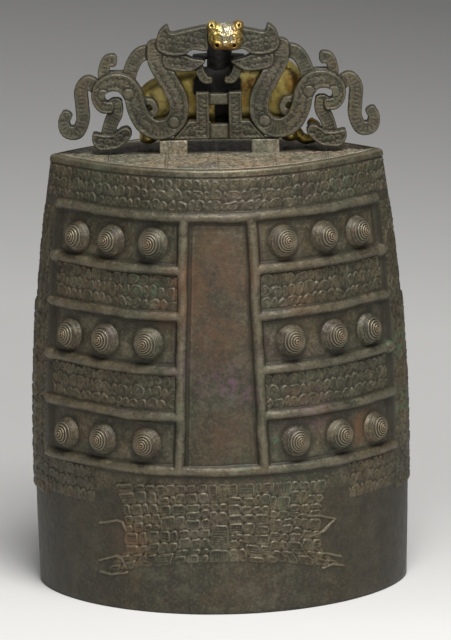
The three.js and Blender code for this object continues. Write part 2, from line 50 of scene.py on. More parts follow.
camera_data = bpy.data.cameras.new("camera")
camera_data.lens = CAMERA_LENS
camera = bpy.data.objects.new("camera", camera_data)
camera.location = (0, -CAMERA_DISTANCE, CAMERA_HEIGHT)
camera.rotation_euler = (
    Matrix.Rotation(-CAMERA_PAN, 3, "Z")
    @ Matrix.Rotation(math.pi / 2 - CAMERA_PITCH, 3, "X")
    @ Matrix.Rotation(CAMERA_ROLL, 3, "Z")
).to_euler()
bpy.context.collection.objects.link(camera)
bpy.context.scene.camera = camera


# The bell body is one hollow casting in leaded bronze: an almond-shaped wall, a closed crown
# and raised frames round the bosses and a plain middle panel. Its patina is a dark
# olive-brown with green and reddish stains, rubbed lighter wherever the surface stands out.
MM = 0.001  # sizes are in millimetres until a mesh is made
CROWN_HEIGHT = 340
CROWN_HALF = (128.5, 95)
GIRTH_HEIGHT = 110
GIRTH_HALF = (147, 113.5)
MOUTH_HALF = (145, 113)
CROWN_FULLNESS = 1
MOUTH_FULLNESS = 0.6
WALL = 9
CROWN_THICKNESS = 12
LIP_THICKNESS = 12
LIP_HEIGHT = 16
LIP_TAPER = 8
ARRIS = 2
RIM_FOOT = 334.6
RIM_RISE = 0.8
RIM_ROUND = 2
CROWN_INSET = 6.5
CROWN_SUNK = 0.8
RIDGE_HEIGHTS = (305.2, 265.3, 230.5, 189.4, 154.1, 112.3)
RIDGE_WIDTH = 9
RIDGE_RISE = 4.5
KNOBBED_RIDGES = (1, 3)
KNOB_RISE = 1.4
PANEL_HALF_TOP = 25
PANEL_HALF_FOOT = 32
END_RIDGE_WIDTH = 5.5
END_RIDGE_RISE = 2
END_RIDGE_SHARE = 0.885
BORDER_WIDTH = 1.5
BORDER_RISE = 0.5
BORDER_GAP = 2.4
PANEL_SHADE = 0.36  # how much darker the middle panel is made; painted shade darkens the wall's foot and its ends
FOOT_SHADE = 0.58
END_SHADE = 0.55
RIDGE_SHADE = 0.75  # and how much dirt and painted shade darken the wall beside the frames, out to a few millimetres
WALL_COLUMNS = (5, 34, 20, 24, 12)
FAR = 99.0  # a distance longer than any that counts

# A row of bosses has its upper ridge and its shift outwards. A column has its share of a
# face's half width and its drop below the middle between the ridges.
BOSS_ROWS = {"top": (0, -0.015), "middle": (2, 0), "lower": (4, 0.011)}
BOSS_COLUMNS = {"inner": (0.377, 1), "centre": (0.605, 1.6), "outer": (0.794, 2.6)}
BOSS_RADIUS = 13.4
BOSS_SINK = 1.2

# Stains on the front, as places across and up, their reach, and how strongly they show
RED_STAINS = [
    (-2, 281, 20, 0.5),
    (12, 262, 20, 0.6),
    (-22, 255, 17, 0.9),
    (-24, 235, 11, 0.7),
    (0, 215, 26, 0.5),
    (6, 140, 22, 0.35),
    (-71, 55, 15, 0.6),
    (108, 133, 11, 0.9),
    (-40, 232, 14, 0.5),
    (60, 238, 12, 0.4),
]
GREEN_STAINS = [
    (5, 167, 9, 0.6),
    (14, 121, 12, 0.6),
    (41, 132, 7, 1),
    (-46, 250, 6, 1),
    (137, 190, 14, 0.9),
    (140, 144, 13, 0.8),
    (-93, 330, 16, 0.5),
    (-30, 156, 10, 0.5),
    (48, 95, 24, 0.3),
    (98, 320, 16, 0.4),
    (-62, 254, 10, 0.6),
]
PURPLE_STAINS = [
    (8, 177, 15, 1),
    (22, 172, 8, 0.8),
    (-14, 178, 8, 0.6),
    (70, 152, 16, 0.5),
    (-30, 192, 12, 0.5),
]
RED_CRUST = (0.15, 0.07, 0.034)
GREEN_CRUST = (0.07, 0.115, 0.06)
PURPLE_CRUST = (0.13, 0.07, 0.085)

# Warm, cool, ruddy and violet tints of the plain patina
TINTS = ((1.2, 1.04, 0.84), (0.78, 0.86, 0.78), (1.4, 0.98, 0.78), (1.12, 0.9, 1.04))


class Nodes:
    """A tree of nodes, to which an expression in Python adds its nodes."""

    def __init__(self, tree):
        self.tree = tree
        self.tree.nodes.clear()

    def node(self, kind, settings, values, output=0):
        """An output of a new node, after its settings and the values or links of its inputs."""
        made = self.tree.nodes.new(kind)
        for setting, value in settings.items():
            if setting == "stops":
                self.set_stops(made.color_ramp.elements, value)
            else:
                setattr(made, setting, value)
        entries = values.items() if isinstance(values, dict) else enumerate(values)
        for key, value in entries:
            if isinstance(value, Tone):
                self.tree.links.new(value.socket, made.inputs[key])
            else:
                made.inputs[key].default_value = value
        return Tone(self, made.outputs[output])

    def set_stops(self, elements, stops):
        """Give a colour ramp its stops, each a position and a colour."""
        while len(elements) < len(stops):
            elements.new(1)
        for element, (position, colour) in zip(elements, stops):
            element.position, element.color = position, (*colour, 1)

    def math(self, operation, *operands):
        return self.node("ShaderNodeMath", {"operation": operation}, operands)


class Tone:
    """One output of a node, with arithmetic that adds Math nodes."""

    def __init__(self, nodes, socket):
        self.nodes = nodes
        self.socket = socket

    def __add__(self, other):
        return self.nodes.math("ADD", self, other)

    def __mul__(self, other):
        return self.nodes.math("MULTIPLY", self, other)

    def __sub__(self, other):
        return self.nodes.math("SUBTRACT", self, other)

    def __rsub__(self, other):
        return self.nodes.math("SUBTRACT", other, self)

    def __truediv__(self, other):
        return self.nodes.math("DIVIDE", self, other)

    def __pow__(self, other):
        return self.nodes.math("POWER", self, other)

    __radd__ = __add__
    __rmul__ = __mul__

    def ramp(self, low, high):
        """0 below low and 1 above high, with a smooth step between; low may be the larger."""
        values = {"Value": self, "From Min": low, "From Max": high}
        return self.nodes.node("ShaderNodeMapRange", {"interpolation_type": "SMOOTHSTEP"}, values)


class Finish(Nodes):
    """A material made of nodes, which read the object's own coordinates."""

    def __init__(self, name):
        self.material = bpy.data.materials.new(name)
        self.material.use_nodes = True
        super().__init__(self.material.node_tree)
        self.place = self.node("ShaderNodeTexCoord", {}, {}, "Object")

    def noise(self, scale, detail=3, roughness=0.55, stretch=(1, 1, 1), shift=(0, 0, 0)):
        mapped = {"Vector": self.place, "Scale": stretch, "Location": shift}
        place = self.node("ShaderNodeMapping", {}, mapped)
        values = {"Vector": place, "Scale": scale, "Detail": detail, "Roughness": roughness}
        return self.node("ShaderNodeTexNoise", {}, values)

    def attribute(self, name):
        return self.node("ShaderNodeAttribute", {"attribute_name": name}, {}, "Fac")

    def mix(self, share, first, second):
        """Blend two colours; each is a Tone or (red, green, blue). Colours have sockets 6 and 7."""
        first, second = [c if isinstance(c, Tone) else (*c, 1) for c in (first, second)]
        return self.node("ShaderNodeMix", {"data_type": "RGBA"}, {0: share, 6: first, 7: second}, 2)

    def surface(self, colour, roughness, metallic, height=None, depth=0.001):
        """The shader of a surface, with a fine relief where a height is given."""
        values = {"Base Color": colour, "Roughness": roughness, "Metallic": metallic}
        if height is not None:
            values["Normal"] = self.node("ShaderNodeBump", {}, {"Height": height, "Distance": depth})
        return self.node("ShaderNodeBsdfPrincipled", {}, values)

    def ended(self, shader):
        """The material, which ends in a shader."""
        output = self.tree.nodes.new("ShaderNodeOutputMaterial")
        self.tree.links.new(shader.socket, output.inputs["Surface"])
        return self.material


def patina(name, deep, plain, worn, green=0.25, contrast=1.0):
    """Old bronze: plain on flat stretches, deep in hollows and worn on what stands proud."""
    finish = Finish(name)
    proud = finish.attribute("relief") * contrast
    broad = finish.noise(15, 4, 0.6)
    patch = finish.noise(34, 4, 0.6, shift=(3, 1, 7))
    fine = finish.noise(170, 4, 0.65)
    speck = finish.noise(420, 3, 0.7, shift=(1, 5, 2))
    grain = finish.noise(900, 3, 0.7)
    streak = finish.noise(60, 3, 0.6, (1, 1, 0.12))
    mottle = finish.noise(85, 3, 0.6, shift=(4, 2, 9))
    warm, cool, ruddy, violet = [[c * share for c, share in zip(plain, tint)] for tint in TINTS]
    colour = finish.mix(broad.ramp(0.38, 0.62), cool, warm)
    colour = finish.mix(patch.ramp(0.53, 0.66) * 0.5, colour, ruddy)
    colour = finish.mix(patch.ramp(0.46, 0.34) * 0.6, colour, violet)
    colour = finish.mix(streak.ramp(0.45, 0.75) * 0.25, colour, deep)
    colour = finish.mix(fine.ramp(0.46, 0.66) * 0.5, colour, deep)
    colour = finish.mix(mottle.ramp(0.5, 0.62) * 0.4, colour, deep)
    colour = finish.mix(mottle.ramp(0.47, 0.37) * 0.2, colour, worn)
    colour = finish.mix(speck.ramp(0.5, 0.64) * 0.5, colour, deep)
    colour = finish.mix(speck.ramp(0.47, 0.33) * 0.32, colour, worn)
    red, verdigris, purple = [finish.attribute(stain) for stain in ("red", "green", "purple")]
    colour = finish.mix(red * (0.5 + 0.5 * fine.ramp(0.4, 0.6)), colour, RED_CRUST)
    colour = finish.mix(purple * fine.ramp(0.42, 0.58), colour, PURPLE_CRUST)
    verdigris = fine.ramp(0.45, 0.62) * (broad.ramp(0.52, 0.7) * green + verdigris)
    colour = finish.mix(finish.math("MINIMUM", verdigris, 0.8), colour, GREEN_CRUST)
    # Low relief darkens towards deep: patina in the hollows, and painted shade where a piece's relief is
    # lowered for it
    colour = finish.mix((proud + (fine - 0.5) * 0.5).ramp(-0.05, -0.8) * 0.8, colour, deep)
    rubbed = (proud + (fine - 0.5) * 0.9 + (grain - 0.5) * 0.5).ramp(0.25, 1.1)
    colour = finish.mix(rubbed * 0.7, colour, worn)
    roughness = 0.46 + 0.2 * (fine - 0.5) - 0.08 * rubbed
    metallic = 0.3 + 0.3 * rubbed
    height = fine * 0.5 + grain * 0.35 + finish.noise(45, 2) * 1.2
    return finish.ended(finish.surface(colour, roughness, metallic, height))


def ease(value, low, high):
    """A smooth step from 0 at low to 1 at high."""
    share = np.clip((value - low) / (high - low), 0, 1)
    return share * share * (3 - 2 * share)


def line(distance, half):
    """1 on a line and 0 beyond its half width, with a round top."""
    return np.clip(1 - (distance / half) ** 2, 0, 1)


def sway(u, v, size, seed):
    """A smooth value between -1 and 1 that wanders over a surface, in bends about size long."""
    total = 0
    for wave in range(5):
        angle = 2.4 * wave + seed
        reach = (u * np.cos(angle) + v * np.sin(angle)) / size
        total = total + np.sin(reach * (3 + 1.3 * wave) + seed * (wave + 1.7))
    return total / 3.2


def section(z):
    """Half width, half depth and fullness of the almond at height z."""
    z = np.asarray(z, float)
    above = z > GIRTH_HEIGHT
    rise = np.where(above, (z - GIRTH_HEIGHT) / (CROWN_HEIGHT - GIRTH_HEIGHT), 1 - z / GIRTH_HEIGHT)
    width, depth = [
        girth + (np.where(above, crown, mouth) - girth) * rise**2
        for girth, crown, mouth in zip(GIRTH_HALF, CROWN_HALF, MOUTH_HALF)
    ]
    return width, depth, MOUTH_FULLNESS + (CROWN_FULLNESS - MOUTH_FULLNESS) * z / CROWN_HEIGHT


def wall_points(turn, z, lift=0.0, inset=0.0):
    """Points of the wall; turn is 0 in the middle of the front and grows towards the right."""
    width, depth, fullness = section(z)

    def almond(angle):
        cosine = np.cos(angle)
        x = (width - inset) * np.sin(angle)
        y = -(depth - inset) * np.sign(cosine) * np.abs(cosine) ** (2 * fullness)
        return x - np.sign(x) * 0.4 * ARRIS * np.clip(1 - np.abs(y) / (2 * ARRIS), 0, 1) ** 2, y

    x, y = almond(turn)
    (x0, y0), (x1, y1) = almond(turn - 0.02), almond(turn + 0.02)
    length = np.hypot(x1 - x0, y1 - y0)
    return np.stack([x + lift * (y1 - y0) / length, y - lift * (x1 - x0) / length, z + 0 * x], -1)


def panel_half(z):
    """Half width of the plain middle panel, to its ridges' centre lines."""
    down = np.clip((RIDGE_HEIGHTS[0] - z) / (RIDGE_HEIGHTS[0] - RIDGE_HEIGHTS[-1]), 0, 1)
    return PANEL_HALF_TOP + (PANEL_HALF_FOOT - PANEL_HALF_TOP) * down


def end_ridge(z):
    """How far across the thin ridge by the end of a face is, to its centre line."""
    return END_RIDGE_SHARE * section(z)[0] + END_RIDGE_WIDTH / 2


def boss_seat(face, hand, row, column):
    """Middle of a boss's seat, and the direction in which the boss stands out."""
    (ridge, shift), (share, drop) = row, column
    side = share + shift
    z = (RIDGE_HEIGHTS[ridge] + RIDGE_HEIGHTS[ridge + 1]) / 2 - drop

    def at(side, z):
        width, depth, fullness = section(z)
        return Vector((width * side * hand, face * depth * (1 - side**2) ** fullness, z))

    outward = (at(side + 0.01, z) - at(side - 0.01, z)).cross(at(side, z + 1) - at(side, z - 1))
    outward = outward.normalized() * (1 if outward.y * face > 0 else -1)
    return at(side, z) - outward * BOSS_SINK, outward


bosses = {
    f"boss_{face_name}_{hand_name}_{row_name}_{column_name}": boss_seat(face, hand, row, column)
    for face_name, face in (("front", -1), ("back", 1))
    for hand_name, hand in (("left", -1), ("right", 1))
    for row_name, row in BOSS_ROWS.items()
    for column_name, column in BOSS_COLUMNS.items()
}


def frame_heights(turn, z):
    """How far the frames stand out of the wall, and how far each place is from their feet."""
    width = section(z)[0]
    across = width * np.sin(turn)
    x = np.abs(across)
    round_the_wall = width * turn
    panel, end = panel_half(z), end_ridge(z)
    bend = 0.6 * sway(round_the_wall, z, 48, 1)
    full = 1 + 0.14 * sway(round_the_wall, z, 20, 2)
    rise = 0.12 * sway(round_the_wall, z, 30, 5)
    foot = np.full_like(x, FAR)

    def ridge(distance, half, height, where):
        nonlocal rise, foot
        share = np.clip(1 - (distance / half) ** 2, 0, 1)
        rise = np.maximum(rise, height * full * share**0.62 * where)
        foot = np.minimum(foot, np.where(where > 0.5, np.abs(distance) - half, FAR))

    inside_end = ease(x, end + 3.5, end)
    for number, height in enumerate(RIDGE_HEIGHTS):
        whole = number in (0, len(RIDGE_HEIGHTS) - 1)
        where = inside_end * (1 if whole else x > panel)
        ridge(z - height + bend, RIDGE_WIDTH / 2, RIDGE_RISE, where)
        if number in KNOBBED_RIDGES:
            away = np.hypot(x - end + 2, z - height + bend)
            ridge(away, RIDGE_WIDTH / 2 + 1, RIDGE_RISE + KNOB_RISE, 1)
    top, lowest = RIDGE_HEIGHTS[0], RIDGE_HEIGHTS[-1]
    framed = ease(z, top + 3, top) * ease(z, lowest - 3, lowest)
    bend = 0.5 * sway(z, across, 42, 3)
    ridge(x - panel + bend, RIDGE_WIDTH / 2, RIDGE_RISE, framed)
    ridge(x - end, END_RIDGE_WIDTH / 2, END_RIDGE_RISE, framed)

    inset = RIDGE_WIDTH / 2 + BORDER_GAP
    below_top = top - inset
    upright = x - panel + inset if z < below_top else np.full_like(x, FAR)
    borders = [upright, z - below_top + FAR * (x > panel - inset)]
    for upper, lower in zip(RIDGE_HEIGHTS[::2], RIDGE_HEIGHTS[1::2]):
        if lower + inset < z < upper - inset:
            borders += [x - panel - inset, x - end + END_RIDGE_WIDTH / 2 + BORDER_GAP]
    for distance in borders:
        rise = np.maximum(rise, BORDER_RISE * line(distance, BORDER_WIDTH / 2))
    return rise, foot


def stain(points, spots):
    """How strongly a list of stains shows at each point of the front."""
    strength = np.zeros(len(points))
    for x, z, reach, most in spots:
        away = np.hypot(points[:, 0] - x, points[:, 2] - z) / reach
        away = away + 0.25 * sway(points[:, 0], points[:, 2], 0.8 * reach, x)
        strength = np.maximum(strength, most * ease(away, 1.4, 0.3) * (points[:, 1] < 0))
    return strength


def piece(name, points, faces, relief, finish, slot, *nodes):
    """A closed mesh from points in millimetres, riding on the bell; doubled points are merged."""
    points = points.reshape(-1, 3)
    _, first, merged = np.unique(np.round(points, 3), axis=0, return_index=True, return_inverse=True)
    faces = [list(dict.fromkeys(corners)) for corners in merged.reshape(-1)[faces].tolist()]
    faces = [corners for corners in faces if len(corners) > 2]
    mesh = bpy.data.meshes.new(name)
    mesh.from_pydata((points[first] * MM).tolist(), [], faces)
    values = {
        "relief": relief.ravel(),
        "red": stain(points, RED_STAINS),
        "green": stain(points, GREEN_STAINS),
        "purple": stain(points, PURPLE_STAINS),
    }
    for key, value in values.items():
        layer = mesh.attributes.new(key, "FLOAT", "POINT")
        layer.data.foreach_set("value", value[first].astype(np.float32))
    return finished(name, mesh, finish, slot, *nodes)


def finished(name, mesh, finish, slot, *nodes):
    """An object from a mesh, with its material, riding on the bell in place of nodes."""
    mesh.shade_smooth()
    mesh.materials.clear()
    mesh.materials.append(finish)
    made = bpy.data.objects.new(name, mesh)
    bpy.context.collection.objects.link(made)
    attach(made, "root")
    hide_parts(*nodes)
    return made


def grid_faces(rows, columns):
    """Four-cornered faces between neighbours in a grid of points."""
    index = np.arange(rows * columns).reshape(rows, columns)
    corners = (index[:-1, :-1], index[:-1, 1:], index[1:, 1:], index[1:, :-1])
    return np.stack(corners, -1).reshape(-1, 4)


def round_columns(z):
    """Turns of the wall's columns at height z, close together on the upright ridges."""
    panel, end = panel_half(z), end_ridge(z)
    across = np.array([0, panel - 10, panel + 10, end - 9, end + 6])
    knots = np.append(np.arcsin(across / section(z)[0]), math.pi / 2)
    stretches = zip(knots, knots[1:], WALL_COLUMNS)
    parts = [np.linspace(start, end, count, endpoint=False) for start, end, count in stretches]
    quarter = np.concatenate([*parts, [math.pi / 2]])
    back = math.pi - quarter[::-1]
    half = np.concatenate([quarter[:-1], back[:-1]])
    return np.concatenate([half, half + math.pi, [2 * math.pi]])


def wall_heights():
    """Heights of the rows up the outside, close together on the level ridges."""
    near = np.array([-7, -5.6, -4.9, -4.4, -3.6, -2.5, -1.2, 0, 1.2, 2.5, 3.6, 4.4, 4.9, 5.6, 7])
    levels = sorted(RIDGE_HEIGHTS)
    rows = [np.linspace(1, levels[0] - 7, 28, endpoint=False)]
    for here, above in zip(levels, levels[1:]):
        rows.append(np.append(here + near, np.linspace(here + 7, above - 7, 8)[1:-1]))
    below_top = levels[-1] - RIDGE_WIDTH / 2 - BORDER_GAP
    rows[-1] = np.append(rows[-1], below_top + np.array([-0.75, -0.3, 0.3, 0.75]))
    rows.append(np.append(levels[-1] + near, np.linspace(levels[-1] + 7, RIM_FOOT - 1, 9)[1:]))
    rows.append(RIM_FOOT + np.array([-0.3, 0, 0.25, 0.6, 1.2, 2.4]))
    return np.unique(np.concatenate(rows))


def dirt_and_painted_shade(x, z, foot):
    """How much a row is darkened: dirt and painted shade by the frames, a darker middle panel, painted
    shade on the foot and ends.
    """
    # Dirt and painted shade beside the frames' feet
    beside = RIDGE_SHADE * np.exp(-((np.maximum(foot, 0) / 2.4) ** 2))
    plain = PANEL_SHADE * (x < panel_half(z)) * (RIDGE_HEIGHTS[-1] < z < RIDGE_HEIGHTS[0])
    # Painted shade: darker down the wall's foot, more so towards the sides, and at the ends of each face
    plain = plain + FOOT_SHADE * ease(z, 104, 88) * (0.72 + 0.28 * ease(x, 40, 95))
    plain = plain + END_SHADE * ease(x, 0.9 * end_ridge(z), 0.99 * end_ridge(z))
    return np.maximum(beside, plain)


def bell_wall():
    """Rings of points from the ceiling down the inside and up the outside, and their relief."""
    rows = []
    relief = []

    def row(z, inset=0.0, spread=1.0, lift=None):
        turn = round_columns(min(max(z, 0), CROWN_HEIGHT))
        if lift is None:
            rise, foot = 0 * turn, 0 * turn + FAR
        else:
            rise, foot = frame_heights(turn, z)
            rise = rise + lift
        ring = wall_points(turn, z, rise, inset)
        ring[:, :2] *= spread
        rows.append(ring)
        rubbed = ease(rise / RIDGE_RISE, 0.4, 1) * 1.35 - RIDGE_SHADE
        relief.append(np.where(foot > 0, -dirt_and_painted_shade(np.abs(ring[:, 0]), z, foot), rubbed))

    ceiling = CROWN_HEIGHT - CROWN_THICKNESS
    for spread in (0, 0.5, 1):
        row(ceiling, WALL, spread)
    for z in np.linspace(ceiling - 12, LIP_HEIGHT + LIP_TAPER, 12):
        row(z, WALL)
    for z, inset in ((LIP_HEIGHT, LIP_THICKNESS), (1, LIP_THICKNESS), (0, LIP_THICKNESS - 1), (0, 1)):
        row(z, inset)
    for z in wall_heights():
        row(z, lift=RIM_RISE * ease(z, RIM_FOOT - 0.2, RIM_FOOT + 0.5))
        # The wall just under the rim strip is painted dark for the strip's shadow, and the strip's face
        # is a little lighter
        if z > RIM_FOOT - 1:
            relief[-1] = relief[-1] * 0 - 0.8 + 1.1 * ease(z, RIM_FOOT, RIM_FOOT + 0.8)
    # The rounded rim is rubbed lighter, with a painted highlight along its middle
    for step in np.linspace(0, math.pi / 2, 6):
        inset = RIM_ROUND * (1 - math.cos(step)) - RIM_RISE
        row(CROWN_HEIGHT - RIM_ROUND + RIM_ROUND * math.sin(step), inset)
        relief[-1] = relief[-1] * 0 + 0.35 + 0.5 * math.sin(2 * step)
    for sunk, inset, shade in ((0, CROWN_INSET - 0.8, 0.2), (CROWN_SUNK, CROWN_INSET - 0.3, -0.6)):
        row(CROWN_HEIGHT - sunk, inset)
        relief[-1] = relief[-1] * 0 + shade
    for spread in (0.9, 0.7, 0.4, 0):
        row(CROWN_HEIGHT - CROWN_SUNK, CROWN_INSET, spread)
    relief = np.array(relief)
    points = np.array(rows)
    outside = points[..., 2] > 1
    # Dirt and painted shade darken the wall round each boss's seat
    for seat, outward in bosses.values():
        away = np.linalg.norm(points - np.array(seat), axis=-1)
        seat_dirt_and_shade = -0.7 * ease(away, BOSS_RADIUS + 5, BOSS_RADIUS)
        relief = np.where(outside & (away < BOSS_RADIUS + 5), np.minimum(relief, seat_dirt_and_shade), relief)
    return points, relief


bronze = patina("old_bronze", (0.021, 0.018, 0.011), (0.085, 0.074, 0.047), (0.24, 0.212, 0.145))
wall, wall_relief = bell_wall()
piece("bell_wall", wall, grid_faces(*wall.shape[:2]), wall_relief, bronze, "wall_bronze", "bell_body")


# The ornament on the wall is cast in one with it, from patterns pressed into the mould: rows
# of small hooked cells in the bands and under the frames, and long scales down both ends.
# Each field is made as a thin skin set into the wall's surface.
SKIN_DEPTH = 1.6
SKIN_GRID = 0.55
CELL_LIFT = 1.25
CELL_WIDTH = 7.4
BAND_TOP = 333.8
LOW_FIELD_FOOT = 80
LOW_FIELD_START = 97
LOW_FIELD_LIFT = 1.15
STRIP_LENGTH = 56
SCALE_GRID = 0.75
SCALE_FOOT = 76
SCALE_STEP = 226
SCALE_SWELL = 1.1
SCALE_LIFT = 1.2
SCALE_LENGTH = 9.5
SCALE_ROWS = 7


def chance(a, b, seed):
    """A number from 0 to 1 for each pair of whole numbers, the same in every run."""
    return np.modf(np.abs(np.sin(a * 127.1 + b * 311.7 + seed * 74.7) * 43758.5453))[0]


def box_distance(a, b, half_a, half_b, radius):
    """How far outside a box with round corners a place is; below 0 inside."""
    over_a, over_b = np.abs(a) - half_a + radius, np.abs(b) - half_b + radius
    outside = np.hypot(np.maximum(over_a, 0), np.maximum(over_b, 0))
    return outside + np.minimum(np.maximum(over_a, over_b), 0) - radius


def hooked_cells(u, v, wide, tall, seed):
    """Heights from 0 to 1 of rows of round hollows, each under a hooked brow."""
    u, v = (
        u + 0.22 * wide * sway(u, v, 2.4 * wide, seed),
        v + 0.17 * tall * sway(v, u, 2.4 * wide, seed + 1),
    )
    row = np.floor(v / tall)
    along = u / wide + 0.5 * row + chance(row, 0, seed)
    column = np.floor(along)

    def edge(number):
        return number + 0.5 * (chance(number, row, seed) - 0.5)

    column = column + (along > edge(column + 1)) - (along < edge(column))
    left, right = edge(column), edge(column + 1)
    a = (along - (left + right) / 2) * wide
    b = v - (row + 0.5) * tall
    inside = -box_distance(a, b, (right - left) * wide / 2, tall / 2, 0.42 * tall)
    leaning = 1.1 + 1.3 * (chance(column, row, seed + 5) - 0.5)
    around = np.arctan2(b, a)
    brow = line(inside - 0.8, 1.05) * (0.62 + 0.38 * np.cos(around - leaning))
    away = np.hypot(a, b) / tall
    curl = line((away - 0.2) * tall, 0.7) * (np.cos(around - leaning - 2) > -0.2)
    pillow = 0.3 * ease(inside, 0.2, 2.2) * (0.6 + 0.8 * chance(column, row, seed + 2))
    height = np.maximum(brow, np.maximum(pillow, 0.65 * curl * (inside > 1.2)))
    return height * (0.8 + 0.2 * chance(row, column, seed + 3)) * ease(inside, -0.3, 0.25)


def slab(outer, inner, keep, relief, rounding=0.0):
    """A closed plate between two grids of points, over the cells that keep marks."""
    layers = [outer, inner]
    if rounding:
        toward = (inner - outer) / np.linalg.norm(inner - outer, axis=-1, keepdims=True) * rounding
        layers = [outer, outer + toward, inner - toward, inner]
    rows, columns = outer.shape[:2]
    size = rows * columns
    cells = grid_faces(rows, columns).reshape(rows - 1, columns - 1, 4)
    faces = [cells[keep], cells[keep][:, ::-1] + (len(layers) - 1) * size]
    ring = np.pad(keep, 1)
    neighbours = (ring[:-2, 1:-1], ring[1:-1, 2:], ring[2:, 1:-1], ring[1:-1, :-2])
    for side, neighbour in enumerate(neighbours):
        edges = cells[keep & ~neighbour]
        start, end = edges[:, side], edges[:, (side + 1) % 4]
        for layer in range(len(layers) - 1):
            upper, lower = layer * size, (layer + 1) * size
            faces.append(np.stack([end + upper, start + upper, start + lower, end + lower], -1))
    used, faces = np.unique(np.concatenate(faces), return_inverse=True)
    points = np.concatenate([layer.reshape(-1, 3) for layer in layers])[used]
    shades = [relief.ravel(), *[relief.ravel() * 0 - 0.3] * (len(layers) - 2), relief.ravel()]
    return points, faces.reshape(-1, 4), np.concatenate(shades)[used]


def even_turns(z, start, end, count):
    """Turns between two turns at height z, at even steps along the wall."""
    fine = np.linspace(start, end, 160)
    steps = np.linalg.norm(np.diff(wall_points(fine, z), axis=0), axis=1)
    along = np.append(0, np.cumsum(steps))
    return np.interp(np.linspace(0, along[-1], count), along, fine)


def turn_at(x, z):
    """The turn of the place on the front that is x across at height z."""
    return np.arcsin(np.clip(x / section(z)[0], -1, 1))


def skin(name, turn, z, height, keep=None, swell=0.0):
    """A thin plate of ornament on the wall, lifted by a swell; it shows where it is above 0."""
    outer = wall_points(turn, z, height + swell)
    inner = wall_points(turn, z, -SKIN_DEPTH)
    if keep is None:
        keep = np.ones((len(z) - 1, turn.shape[1] - 1), bool)
    relief = np.clip(height / CELL_LIFT * 1.5 - 0.75, -0.75, 0.9)
    points, faces, shades = slab(outer, inner, keep, relief)
    piece(name, points, faces, shades, bronze, "wall_bronze")


def edged(height, u, v, ends_u, ends_v, reach=0.9):
    """A skin's heights, brought down into the wall along its four edges."""
    away = np.minimum(
        np.minimum(u - ends_u[0], ends_u[1] - u),
        np.minimum(v - ends_v[0], ends_v[1] - v),
    )
    return np.where(away < reach, -0.5 + (height + 0.5) * ease(away, 0, reach), height)


def band(name, low, high, starts, ends, seed, lift=CELL_LIFT):
    """A band of three rows of cells between two heights and two turns at each height."""
    z = np.linspace(low, high, int((high - low) / SKIN_GRID) + 1)
    foot = wall_points(np.linspace(starts(low), ends(low), 160), low)
    length = np.linalg.norm(np.diff(foot, axis=0), axis=1).sum()
    count = int(length / SKIN_GRID) + 1
    turn = np.array([even_turns(level, starts(level), ends(level), count) for level in z])
    u, v = np.meshgrid(np.linspace(0, length, count), z - low)
    height = lift * hooked_cells(u, v, CELL_WIDTH, (high - low) / 3, seed) + 0.1
    skin(name, turn, z[:, None] + 0 * turn, edged(height, u, v, (0, length), (0, high - low)))


def band_ends(face_turn, hand):
    """The turns at which a band between the frames starts and ends, as functions of height."""

    def near(z):
        return face_turn + hand * turn_at(panel_half(z) + RIDGE_WIDTH / 2 - 1, z)

    def far(z):
        return face_turn + hand * turn_at(end_ridge(z) - 2, z)

    return (near, far) if hand > 0 else (far, near)


def low_field_ends(face_turn, hand):
    """The turns at which the field of cells under the frames starts and ends."""

    def near(z):
        return face_turn + hand * turn_at(LOW_FIELD_START, z)

    def far(z):
        return face_turn + hand * turn_at(end_ridge(z) + 2, z)

    return (near, far) if hand > 0 else (far, near)


def band_across(face_turn):
    """The turns at which the top band starts and ends: close to the two arrises."""

    def reach(z):
        return turn_at(section(z)[0] - 0.8, z)

    return (lambda z: face_turn - reach(z)), (lambda z: face_turn + reach(z))


ridge_foot = RIDGE_WIDTH / 2 - 1
for face_name, face_turn in (("front", 0), ("back", math.pi)):
    seed = 3 + face_turn
    low = RIDGE_HEIGHTS[0] + ridge_foot
    band(f"band_{face_name}_top", low, BAND_TOP, *band_across(face_turn), seed)
    for number, level_name in ((1, "upper"), (3, "lower")):
        low, high = RIDGE_HEIGHTS[number + 1] + ridge_foot, RIDGE_HEIGHTS[number] - ridge_foot
        for hand_name, hand in (("left", -1), ("right", 1)):
            name = f"band_{face_name}_{hand_name}_{level_name}"
            band(name, low, high, *band_ends(face_turn, hand), seed + 5.5 * (number - 1) + 5 * hand)
    for hand_name, hand in (("left", -1), ("right", 1)):
        name = f"band_{face_name}_{hand_name}_foot"
        high = RIDGE_HEIGHTS[-1] - ridge_foot
        ends = low_field_ends(face_turn, hand)
        band(name, LOW_FIELD_FOOT, high, *ends, seed + 40 + hand, LOW_FIELD_LIFT)

for hand_name, quarter in (("right", math.pi / 2), ("left", 3 * math.pi / 2)):
    z = np.arange(SCALE_FOOT, RIDGE_HEIGHTS[0] - 3, SCALE_GRID)
    count = int(STRIP_LENGTH / SCALE_GRID)
    turn = []
    for level in z:
        reach = math.pi / 2 - turn_at(end_ridge(level) + 2, level)
        turn.append(even_turns(level, quarter - reach, quarter + reach, count))
    turn = np.array(turn)
    u, v = np.meshgrid(np.linspace(0, STRIP_LENGTH, count), z - SCALE_FOOT)
    proud = ease(z, SCALE_FOOT, SCALE_FOOT + 4) * ease(z, SCALE_STEP + 3, SCALE_STEP)
    swell = SCALE_SWELL * proud[:, None] * ease(np.abs(u - STRIP_LENGTH / 2), 17, 11)
    height = SCALE_LIFT * hooked_cells(v, u, SCALE_LENGTH, STRIP_LENGTH / SCALE_ROWS, 21) + 0.05
    height = edged(height, u, v, (0, STRIP_LENGTH), (0, z[-1] - SCALE_FOOT))
    skin(f"scales_{hand_name}", turn, z[:, None] + 0 * turn, height, None, swell)


